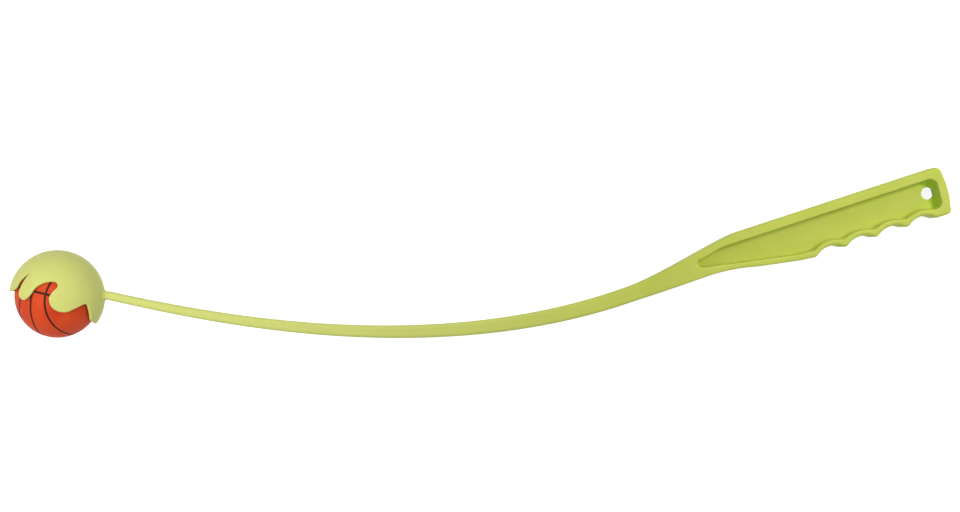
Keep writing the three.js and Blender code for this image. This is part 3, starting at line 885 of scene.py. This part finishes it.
def in_runs(throat, fingers, heel, end_pull, crown, sweep, lower_spacing=1, upper_spacing=1):
    """A whole outline, with the steps of each of its runs."""
    return joined(
        resampled(throat, RUN_STEPS["throat"], lower_spacing),
        fingers,
        resampled([fingers[-1], heel[0]], RUN_STEPS["heel_run"]),
        resampled(heel, RUN_STEPS["corner"]),
        resampled(bezier([heel[-1], end_pull, crown[0]], ARC_STEPS), RUN_STEPS["end"]),
        resampled(crown, RUN_STEPS["corner"]),
        resampled([crown[-1], sweep[0]], RUN_STEPS["top"]),
        resampled(sweep[::-1], RUN_STEPS["sweep"], upper_spacing)[::-1],
    )


def outer_outline(handle, stem):
    """The handle's outline in its own axes, from the stem's underside round to its top."""
    over = stem_up(handle, stem) * stem.end_depth / 2
    under = -over
    tips_start = (first_tip_of(handle), -handle.bottom)
    throat = np.array([under, *between((0, under[1]), tips_start, THROAT_SHARES)])
    fingers = finger_wave(
        handle,
        -handle.bottom,
        handle.finger_depth,
        handle.finger_tip,
        handle.finger_lead,
        (handle.first_drop, handle.heel_drop),
    )
    heel_middle = (
        handle.reach - handle.end_crown - handle.heel_radius,
        handle.heel_radius - handle.bottom - handle.finger_fall - handle.heel_drop,
    )
    crown_middle = (
        handle.reach - handle.end_crown / 3 - handle.crown_radius,
        handle.top - handle.crown_radius,
    )
    heel = arc(heel_middle, handle.heel_radius, -QUARTER, handle.corner_lean, ARC_STEPS)
    crown = arc(crown_middle, handle.crown_radius, -handle.corner_lean, QUARTER, ARC_STEPS)
    bulge = (handle.reach + handle.end_crown / 2, (heel[-1][1] + crown[0][1]) / 2)
    sweep_start = (handle.top_sweep, handle.top)
    pulls = between((0, over[1]), sweep_start, SWEEP_SHARES)
    sweep = bezier([sweep_start, *pulls, over], CURVE_STEPS)
    return in_runs(joined(through(throat), fingers[:1]), fingers, heel, bulge, crown, sweep)


def nose_arcs(handle):
    """The recess's round start: the ends of its lower and upper runs, and the front between."""
    middle = (handle.nose_start + handle.nose_radius, handle.nose_height)
    upper = QUARTER + handle.nose_lean
    lower = 3 * QUARTER - handle.nose_lean
    front = (blend(upper, lower, NOSE_UPPER_SHARE), blend(lower, upper, NOSE_LOWER_SHARE))
    return (
        arc(middle, handle.nose_radius, front[1], lower, ARC_STEPS // 2),
        arc(middle, handle.nose_radius, upper, front[0], ARC_STEPS // 2),
        arc(middle, handle.nose_radius, *front, ARC_STEPS),
    )


def recess_outline(handle):
    """The recess's outline, closed, with its points beside those of the handle's own."""
    top = handle.top - handle.top_rim
    level = handle.finger_rim - handle.bottom
    nose_lower, nose_upper, nose_front = nose_arcs(handle)
    nose_foot = (handle.nose_start + handle.nose_radius, handle.nose_height - handle.nose_radius)
    tips_start = (first_tip_of(handle), level)
    knots = np.array([nose_lower[-1], *between(nose_foot, tips_start, RECESS_THROAT_SHARES)])
    waves = finger_wave(
        handle,
        level,
        handle.wave_depth,
        handle.wave_tip,
        handle.wave_lead,
        (handle.wave_drop, 0),
    )
    right = handle.reach - handle.end_rim
    heel_middle = (
        right - handle.recess_step - handle.recess_corner,
        handle.heel_rim - handle.bottom + handle.recess_corner,
    )
    crown_middle = (right - handle.recess_top_corner, top - handle.recess_top_corner)
    heel = arc(heel_middle, handle.recess_corner, -QUARTER, -handle.recess_lean, ARC_STEPS)
    end_pull = (right, heel[-1][1] + (right - heel[-1][0]) / math.tan(handle.recess_lean))
    crown = arc(crown_middle, handle.recess_top_corner, 0, QUARTER, ARC_STEPS)
    throat = joined(nose_lower, through(knots), waves[:1])
    sweep_start = (handle.recess_sweep, top)
    pulls = between(sweep_start, nose_upper[0], RECESS_SWEEP_SHARES)
    sweep = joined(bezier([sweep_start, *pulls, nose_upper[0]], CURVE_STEPS), nose_upper)
    spacings = (LOWER_SPACING_SHARE, UPPER_SPACING_SHARE)
    runs = in_runs(throat, waves, heel, end_pull, crown, sweep, *spacings)
    return joined(runs, resampled(nose_front, handle.face_steps // 2 * 2))[:-1]


def raised(flat, height):
    """Points of the side view, at a height or heights towards the viewer."""
    return np.column_stack([flat, np.broadcast_to(height, len(flat))])


def half_width_at(flat, handle, stem):
    """How far the handle's face stands out at points of the side view."""
    return blend(stem.end_width, handle.width, smoothed(flat[:, 0] / handle.flare)) / 2


def outer_rows(outline, handle, stem):
    """Rows of points over the near half of the handle's wall and its rounded edge."""
    inward = left_normals(outline, False)
    inward[0] = stem_up(handle, stem)
    inward[-1] = -inward[0]
    fingers = (outline[:, 0] - first_tip_of(handle) + handle.finger_pitch / 2) / handle.finger_pitch
    under = blend(handle.throat_edge, handle.finger_edge, smoothed(fingers))
    under = blend(handle.edge, under, smoothed(outline[:, 0] / handle.flare))
    edge = blend(under, handle.edge, facing(inward, (0, -1), TOP_FACING_SHARES))
    edge = blend(edge, handle.end_edge, facing(inward, (-1, 0), END_FACING_SHARES))
    rows = []
    for step in np.linspace(0, 1, handle.wall_steps + 1):
        rows.append(raised(outline, (half_width_at(outline, handle, stem) - edge) * step))
    for turn in quarter_turns(handle.corner_steps)[1:]:
        flat = outline + inward * edge[:, None] * (1 - math.cos(turn))
        rows.append(raised(flat, half_width_at(flat, handle, stem) - edge * (1 - math.sin(turn))))
    return rows


def face_rows(face_edge, mouth, handle, stem):
    """Rows of points over the handle's face, from its edge to the mouth of the recess."""
    inner = np.linspace(0, 1, handle.face_steps)[1:-1]
    rows = []
    for step in [0, FACE_HOLD_SHARE, *inner, 1 - FACE_HOLD_SHARE, 1]:
        flat = blend(face_edge, mouth, step)
        rows.append(raised(flat, half_width_at(flat, handle, stem)))
    return rows


def pocket_rows(recess, into, rounding, handle, stem):
    """Rows of points from the mouth of the recess down its wall to the edge of its floor."""
    rows = []
    for turn in quarter_turns(handle.corner_steps):
        flat = recess - into * rounding[:, None] * (1 - math.sin(turn))
        sunk = rounding * (1 - math.cos(turn))
        rows.append(raised(flat, half_width_at(flat, handle, stem) - sunk))
    rim = rows[-1][:, 2]
    near_hole = facing(into, (-1, 0), END_FLOOR_SHARES)
    fillet = blend(handle.floor_radius, handle.end_floor, near_hole)
    foot = handle.web / 2 + fillet
    for step in np.linspace(0, 1, handle.wall_steps + 1)[1:]:
        rows.append(raised(recess + into * handle.draft * step, blend(rim, foot, step)))
    for turn in quarter_turns(handle.corner_steps)[1:]:
        flat = recess + into * (handle.draft + fillet * (1 - math.cos(turn)))[:, None]
        rows.append(raised(flat, foot - fillet * math.sin(turn)))
    flat = recess + into * (handle.draft + fillet * FLOOR_START_SHARE)[:, None]
    rows.append(raised(flat, handle.web / 2))
    return rows


def hole_rows(handle):
    """Rings of points down the hanging hole, to the middle of the web."""
    middle = (handle.reach - handle.hole_from_end, handle.hole_height)
    circle = arc((0, 0), 1, 0, 4 * QUARTER, handle.hole_steps)[:-1]
    profile = [(LIP_START_SHARE, 0)]
    profile += [(1 - math.sin(turn), 1 - math.cos(turn)) for turn in quarter_turns(handle.corner_steps)]
    profile = [(spread * handle.hole_lip, sunk * handle.hole_lip) for spread, sunk in profile]
    rows = []
    for spread, sunk in [*profile, (0, handle.web / 2)]:
        flat = middle + circle * (handle.hole / 2 + spread)
        rows.append(raised(flat, handle.web / 2 - sunk))
    return rows


def handle_skin(skin, stem_end, handle, stem):
    """Adds the handle, from the stem's last section to its end, with both its recesses."""
    side = outer_rows(outer_outline(handle, stem), handle, stem)
    rim = side[-1][:, :2]
    closing = resampled([rim[-1], rim[0]], handle.face_steps // 2 * 2)
    recess = recess_outline(handle)
    into = left_normals(recess, True)
    rounding = blend(handle.mouth_radius, handle.finger_mouth, smoothed(into[:, 1]))
    rounding = blend(rounding, handle.nose_mouth, smoothed(into[:, 0]))
    mouth = recess - into * rounding[:, None]
    face = face_rows(np.concatenate([rim, closing[1:-1]]), mouth, handle, stem)
    pocket = pocket_rows(recess, into, rounding, handle, stem)
    hole = hole_rows(handle)
    turn = np.array(Matrix.Translation((*stem_end, 0)) @ Matrix.Rotation(handle.slope, 4, "Z"))

    def placed(points, near):
        points = np.asarray(points, float) * (1, 1, near)
        return points @ turn[:3, :3].T + turn[:3, 3]

    for near in (1, -1):
        skin.add_grid(placed(side, near))
        for rows in (face, pocket, hole):
            skin.add_grid(placed(rows, near), wraps=True)
        skin.add_plate([placed(pocket[-1], near), placed(hole[0], near)])


# Ball


def ball_placing(scene):
    """Where the ball's middle is, and how it is turned."""
    ball, cup = scene.ball_sizes, scene.cup_sizes
    seat = cup.play - cup.seat_gap
    middle = Vector((math.sin(cup.opening_tilt), math.cos(cup.opening_tilt), 0)) * seat
    turned = Matrix.Identity(4)
    for axis, turn in zip("XYZ", ball.turn):
        turned = turned @ Matrix.Rotation(turn, 4, axis)
    return side_view_to_row(scene.lying_place) @ Matrix.Translation(middle) @ turned


def seam_polar(turns, ball, oval):
    """The angle of a seam from the ball's side pole, and its change with the turn about it."""
    if not oval:
        return np.full_like(turns, QUARTER), np.zeros_like(turns)
    spread = ball.oval_narrow - ball.oval_wide
    return ball.oval_wide + spread * np.sin(turns) ** 2, spread * np.sin(2 * turns)


def seam_frames():
    """The turns that take a seam about the ball's x axis to each of the four seams."""
    upright = Matrix.Identity(4)
    level = Matrix.Rotation(QUARTER, 4, "Z")
    behind = Matrix.Rotation(2 * QUARTER, 4, "Y")
    return [(upright, False), (level, False), (upright, True), (behind, True)]


def seam_distance(points, ball):
    """How far each point of the skin is from the nearest seam's middle line."""
    nearest = np.full(len(points), np.inf)
    for turn, oval in seam_frames():
        own = points @ np.array(turn)[:3, :3]
        polar = np.arccos(np.clip(own[:, 0], -1, 1))
        turns = np.arctan2(-own[:, 1], own[:, 2])
        place, change = seam_polar(turns, ball, oval)
        slant = np.hypot(1, change / np.maximum(np.sin(polar), LEAST_SINE))
        nearest = np.minimum(nearest, np.abs(polar - place) / slant * ball.diameter / 2)
    return nearest


def ball_skin(ball):
    """The ball's skin with its grooves, as six curved squares."""
    count = ball.face_steps
    spread = np.tan(np.linspace(-QUARTER / 2, QUARTER / 2, count + 1))
    across, up = np.meshgrid(spread, spread)
    skin = Skin()
    for axis in range(3):
        for way in (1, -1):
            cube = np.stack([np.full_like(across, way), across, up], axis=-1)
            points = unit(np.roll(cube, axis, axis=-1).reshape(-1, 3))
            reach = np.clip(seam_distance(points, ball) / (ball.groove_width / 2), 0, 1)
            sunk = ball.groove_depth * (1 + np.cos(np.pi * reach)) / 2
            points *= (ball.diameter / 2 - sunk)[:, None]
            skin.add_grid(points.reshape(count + 1, count + 1, 3))
    return skin


def seam_ring(ball, turn, oval):
    """One closed seam, with a slightly crowned top."""
    turns = np.linspace(0, 4 * QUARTER, ball.seam_steps + 1)[:-1]
    place, _ = seam_polar(turns, ball, oval)
    radius = ball.diameter / 2
    half = ball.seam_width / 2
    crown = radius - ball.seam_rise
    shoulder = crown - 2 * ball.seam_crown
    root = radius - ball.seam_root
    across = np.linspace(-SEAM_TOP_SHARE, SEAM_TOP_SHARE, SEAM_TOP_STEPS + 1)
    top = [(aside * half, crown - ball.seam_crown * aside**2) for aside in across]
    profile = [(-half, root), (-half, shoulder), *top, (half, shoulder), (half, root)]
    out = np.sin(place)
    middle = np.stack([np.cos(place), -np.sin(turns) * out, np.cos(turns) * out], 1)
    aside = np.cross(unit(np.roll(middle, -1, axis=0) - np.roll(middle, 1, axis=0)), middle)
    rings = []
    for offset, height in profile:
        lean = offset / radius
        rings.append((middle * math.cos(lean) + aside * math.sin(lean)) * height)
    rows = np.array([*rings, rings[0]]) @ np.array(turn)[:3, :3].T
    skin = Skin()
    skin.add_grid(rows, wraps=True)
    return skin


# Materials


def new_material(name, sockets):
    """A node material with its even values, its shader and the coordinates of its grain."""
    material = bpy.data.materials.new(name)
    material.use_nodes = True
    tree = material.node_tree
    shader = tree.nodes["Principled BSDF"]
    for socket, value in sockets.items():
        shader.inputs[socket].default_value = value
    return material, tree, shader.inputs, tree.nodes.new("ShaderNodeTexCoord").outputs["Object"]


def noise(tree, place, scale, detail):
    """An even cloud of values."""
    cloud = tree.nodes.new("ShaderNodeTexNoise")
    cloud.inputs["Scale"].default_value = scale
    cloud.inputs["Detail"].default_value = detail
    tree.links.new(place, cloud.inputs["Vector"])
    return cloud.outputs["Fac"]


def mapped(tree, value, low, high, to_low, to_high):
    """A value taken from one range to another."""
    node = tree.nodes.new("ShaderNodeMapRange")
    node.interpolation_type = "SMOOTHSTEP"
    tree.links.new(value, node.inputs["Value"])
    ends = {"From Min": low, "From Max": high, "To Min": to_low, "To Max": to_high}
    for socket, end in ends.items():
        node.inputs[socket].default_value = end
    return node.outputs["Result"]


def pattern(tree, place, scale, detail, *ranges):
    """A cloud of values, taken from one range to another."""
    return mapped(tree, noise(tree, place, scale, detail), *ranges)


def mixed(tree, factor, one, other):
    """A colour between two, each a colour or an output that gives one."""
    node = tree.nodes.new("ShaderNodeMix")
    node.data_type = "RGBA"
    tree.links.new(factor, node.inputs["Factor"])
    # The node has its colour sockets after those of the other kinds.
    for end, colour_of in zip([s for s in node.inputs if s.type == "RGBA"], (one, other)):
        if isinstance(colour_of, bpy.types.NodeSocket):
            tree.links.new(colour_of, end)
        else:
            end.default_value = (*colour_of, 1)
    return next(s for s in node.outputs if s.type == "RGBA")


def bump(tree, height, strength, distance, under=None):
    """A relief of the surface."""
    node = tree.nodes.new("ShaderNodeBump")
    node.inputs["Strength"].default_value = strength
    node.inputs["Distance"].default_value = distance
    tree.links.new(height, node.inputs["Height"])
    if under is not None:
        tree.links.new(under, node.inputs["Normal"])
    return node.outputs["Normal"]


def relief(tree, place, scale, detail, strength, distance, under=None):
    """A relief of the surface from a cloud of values."""
    return bump(tree, noise(tree, place, scale, detail), strength, distance, under)


def lime_plastic(finishes):
    """Satin moulded plastic with faint flow drifts and the fine grain of its mould, a painted sheen on
    the cup and stem, and a painted green glow in the shade of the handle's hollows.
    """
    material, tree, inputs, place = new_material("lime_plastic", PLASTIC_SOCKETS)
    drift = pattern(tree, place, *PLASTIC_DRIFT)
    body = mixed(tree, drift, finishes.plastic, finishes.plastic_deep)
    apart = tree.nodes.new("ShaderNodeSeparateXYZ")
    tree.links.new(place, apart.inputs["Vector"])
    # Painted sheen: the cup and stem are painted paler, in place of the white sheen of the light on
    # them.
    painted_sheen = mapped(tree, apart.outputs["X"], *PAINTED_SHEEN_RUN, 1, 0)
    body = mixed(tree, painted_sheen, body, finishes.plastic_painted_sheen)
    # Painted glow in shade: where the occlusion finds a hollow, the colour turns to a brighter green
    # towards the handle's end, and to the plain plastic colour towards the cup.
    hollow = tree.nodes.new("ShaderNodeAmbientOcclusion")
    hollow.only_local = True
    hollow.inputs["Distance"].default_value = PAINTED_GLOW_REACH
    closed = mapped(tree, hollow.outputs["AO"], *PAINTED_GLOW_SHARES, 1, 0)
    painted_glow_share = mapped(tree, apart.outputs["X"], *PAINTED_GLOW_RUN, 0, 1)
    glow = mixed(tree, painted_glow_share, finishes.plastic, finishes.plastic_painted_glow)
    tree.links.new(mixed(tree, closed, body, glow), inputs["Base Color"])
    tree.links.new(pattern(tree, place, *PLASTIC_WEAR), inputs["Roughness"])
    grain = relief(tree, place, *PLASTIC_GRAIN)
    tree.links.new(relief(tree, place, *PLASTIC_WAVES, grain), inputs["Normal"])
    return material


def orange_rubber(finishes):
    """Matte rubber with a fine pebbled skin."""
    material, tree, inputs, place = new_material("orange_rubber", RUBBER_SOCKETS)
    drift = pattern(tree, place, *RUBBER_DRIFT)
    tree.links.new(mixed(tree, drift, finishes.rubber, finishes.rubber_deep), inputs["Base Color"])
    pebbles = tree.nodes.new("ShaderNodeTexVoronoi")
    pebbles.feature = "SMOOTH_F1"
    pebbles.inputs["Scale"].default_value = PEBBLE_SCALE
    tree.links.new(place, pebbles.inputs["Vector"])
    tree.links.new(bump(tree, pebbles.outputs["Distance"], *PEBBLE_RELIEF), inputs["Normal"])
    tree.links.new(pattern(tree, place, *RUBBER_WEAR), inputs["Roughness"])
    return material


def dark_rubber(finishes):
    """The seams' dark rubber."""
    material, tree, inputs, place = new_material("dark_rubber", SEAM_SOCKETS)
    dusty = [value * DUST_GAIN for value in finishes.seam]
    dust = pattern(tree, place, *SEAM_DUST)
    tree.links.new(mixed(tree, dust, finishes.seam, dusty), inputs["Base Color"])
    tree.links.new(pattern(tree, place, *SEAM_WEAR), inputs["Roughness"])
    tree.links.new(relief(tree, place, *SEAM_GRAIN), inputs["Normal"])
    return material


def seen_rays(tree, unseen, seen):
    """One value for light that is seen, straight or in a reflection, and one for the rest."""
    rays = tree.nodes.new("ShaderNodeLightPath")
    total = rays.outputs["Is Camera Ray"]
    for kind in ("Is Glossy Ray", "Is Transmission Ray"):
        add = tree.nodes.new("ShaderNodeMath")
        add.operation = "MAXIMUM"
        tree.links.new(total, add.inputs[0])
        tree.links.new(rays.outputs[kind], add.inputs[1])
        total = add.outputs[0]
    strength = tree.nodes.new("ShaderNodeMapRange")
    strength.inputs["To Min"].default_value = unseen
    strength.inputs["To Max"].default_value = seen
    tree.links.new(total, strength.inputs["Value"])
    return strength.outputs["Result"]


def floor_paint(finishes, glow):
    """A pale floor that is seen as white, with the object's shadow on it."""
    material, tree, inputs, _ = new_material("floor_paint", FLOOR_SOCKETS)
    inputs["Base Color"].default_value = (*finishes.floor, 1)
    tree.links.new(seen_rays(tree, 0, glow), inputs["Emission Strength"])
    return material


# Operators


class ADD_OT_thrower_moulding(bpy.types.Operator):
    """Build the cup, stem and handle as one moulded skin"""

    bl_idname = "ball_thrower.add_moulding"
    bl_label = "Add thrower"

    def execute(self, context):
        scene = context.scene
        ball, cup = scene.ball_sizes, scene.cup_sizes
        stem, handle = scene.stem_sizes, scene.handle_sizes
        placing = side_view_to_row(scene.lying_place)
        tilt = Matrix.Rotation(-cup.opening_tilt, 4, "Z")
        piece = cup_skin(ball, cup).made("thrower_moulding", placing @ tilt)

        cup_radius = ball.diameter / 2 + cup.play + cup.wall
        line = stem_line(cup_radius, stem)
        rings = stem_rings(line, stem, handle)
        neck = neck_rings(rings[0], np.array([*line[0], 0]), cup_radius, cup, stem)
        body = Skin()
        body.add_grid(np.concatenate([neck, rings]), wraps=True)
        body.add_fan(neck[0], neck[0].mean(axis=0))
        handle_skin(body, line[-1], handle, stem)
        united(piece, [body.made("stem_and_handle", placing)])
        piece.data.materials.clear()
        piece.data.materials.append(lime_plastic(scene.finishes))
        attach(piece, "thrower")
        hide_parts("claw_cup", "flexible_stem", "handle_grip")
        return {"FINISHED"}


class ADD_OT_ball(bpy.types.Operator):
    """Build the ball's orange skin with its seam grooves"""

    bl_idname = "ball_thrower.add_ball"
    bl_label = "Add ball"

    def execute(self, context):
        scene = context.scene
        piece = ball_skin(scene.ball_sizes).made("ball_skin", ball_placing(scene))
        piece.data.materials.append(orange_rubber(scene.finishes))
        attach(piece, "ball")
        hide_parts("ball_core")
        return {"FINISHED"}


class ADD_OT_seams(bpy.types.Operator):
    """Build the four dark seams of the ball as one net"""

    bl_idname = "ball_thrower.add_seams"
    bl_label = "Add seams"

    def execute(self, context):
        scene = context.scene
        placing = ball_placing(scene)
        rings = []
        for turn, oval in seam_frames():
            ring = seam_ring(scene.ball_sizes, turn, oval)
            rings.append(ring.made(f"seam_{len(rings)}", placing))
        piece = united(rings[0], rings[1:])
        piece.name = "ball_seam_net"
        piece.data.materials.clear()
        piece.data.materials.append(dark_rubber(scene.finishes))
        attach(piece, "ball")
        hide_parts("ball_seams")
        return {"FINISHED"}


def area_light(name, to_row, tint, place, target, size, power, spread):
    """A soft square lamp at a place in the side view, which points at the target."""
    lamp = bpy.data.lights.new(name, "AREA")
    lamp.shape = "SQUARE"
    lamp.size = size
    lamp.energy = power
    lamp.color = tint
    lamp.spread = spread
    held = bpy.data.objects.new(name, lamp)
    held.location = to_row @ Vector(place)
    way = to_row @ Vector(target) - held.location
    held.rotation_euler = way.to_track_quat("-Z", "Y").to_euler()
    bpy.context.scene.collection.objects.link(held)


class ADD_OT_stage(bpy.types.Operator):
    """Set up the camera, the lights and the floor"""

    bl_idname = "ball_thrower.add_stage"
    bl_label = "Add stage"

    def execute(self, context):
        scene = context.scene
        settings = scene.stage_settings
        to_row = side_view_to_row(scene.lying_place)

        camera = bpy.data.objects.new("camera", bpy.data.cameras.new("camera"))
        camera.data.lens = settings.lens
        seen_from = (settings.camera_along, settings.camera_up, settings.camera_distance)
        camera.matrix_world = to_row @ Matrix.Translation(seen_from)
        scene.collection.objects.link(camera)
        scene.camera = camera

        for name in LAMP_NAMES:
            own = [getattr(settings, f"{name}_{setting}") for setting in LAMP_SETTINGS]
            area_light(f"{name}_lamp", to_row, settings.lamp_colour, *own)

        skin = Skin()
        half = settings.floor_size / 2
        skin.add_grid([[(x, y, cad_box[0].z) for x in (-half, half)] for y in (-half, half)])
        floor = skin.made("floor", Matrix.Identity(4))
        floor.data.materials.append(floor_paint(scene.finishes, settings.floor_glow))

        world = bpy.data.worlds.new("world")
        world.use_nodes = True
        tree = world.node_tree
        background = tree.nodes["Background"]
        background.inputs["Color"].default_value = (1, 1, 1, 1)
        tree.links.new(seen_rays(tree, settings.sky, 1), background.inputs["Strength"])
        scene.world = world
        scene.view_settings.view_transform = "Standard"
        return {"FINISHED"}


class VIEW3D_PT_ball_thrower(bpy.types.Panel):
    """The steps of the build and their sizes"""

    bl_label = "Dog Ball Thrower"
    bl_idname = "VIEW3D_PT_ball_thrower"
    bl_space_type = "VIEW_3D"
    bl_region_type = "UI"
    bl_category = "Ball Thrower"

    def draw(self, context):
        for operator in OPERATORS:
            self.layout.operator(operator.bl_idname)
        for name, group in GROUPS.items():
            box = self.layout.box()
            box.label(text=group.__name__)
            for key in group.__annotations__:
                box.prop(getattr(context.scene, name), key)


GROUPS = {
    "ball_sizes": BallSizes,
    "cup_sizes": CupSizes,
    "stem_sizes": StemSizes,
    "handle_sizes": HandleSizes,
    "lying_place": LyingPlace,
    "finishes": Finishes,
    "stage_settings": StageSettings,
}
OPERATORS = [ADD_OT_thrower_moulding, ADD_OT_ball, ADD_OT_seams, ADD_OT_stage]


def register():
    for group in [*GROUPS.values(), *OPERATORS, VIEW3D_PT_ball_thrower]:
        bpy.utils.register_class(group)
    for name, group in GROUPS.items():
        setattr(bpy.types.Scene, name, PointerProperty(type=group))


def unregister():
    for name in GROUPS:
        delattr(bpy.types.Scene, name)
    for group in [VIEW3D_PT_ball_thrower, *OPERATORS, *GROUPS.values()]:
        bpy.utils.unregister_class(group)


def main():
    register()
    bpy.ops.ball_thrower.add_stage()
    bpy.ops.ball_thrower.add_moulding()
    bpy.ops.ball_thrower.add_ball()
    bpy.ops.ball_thrower.add_seams()


if __name__ == "__main__":
    main()
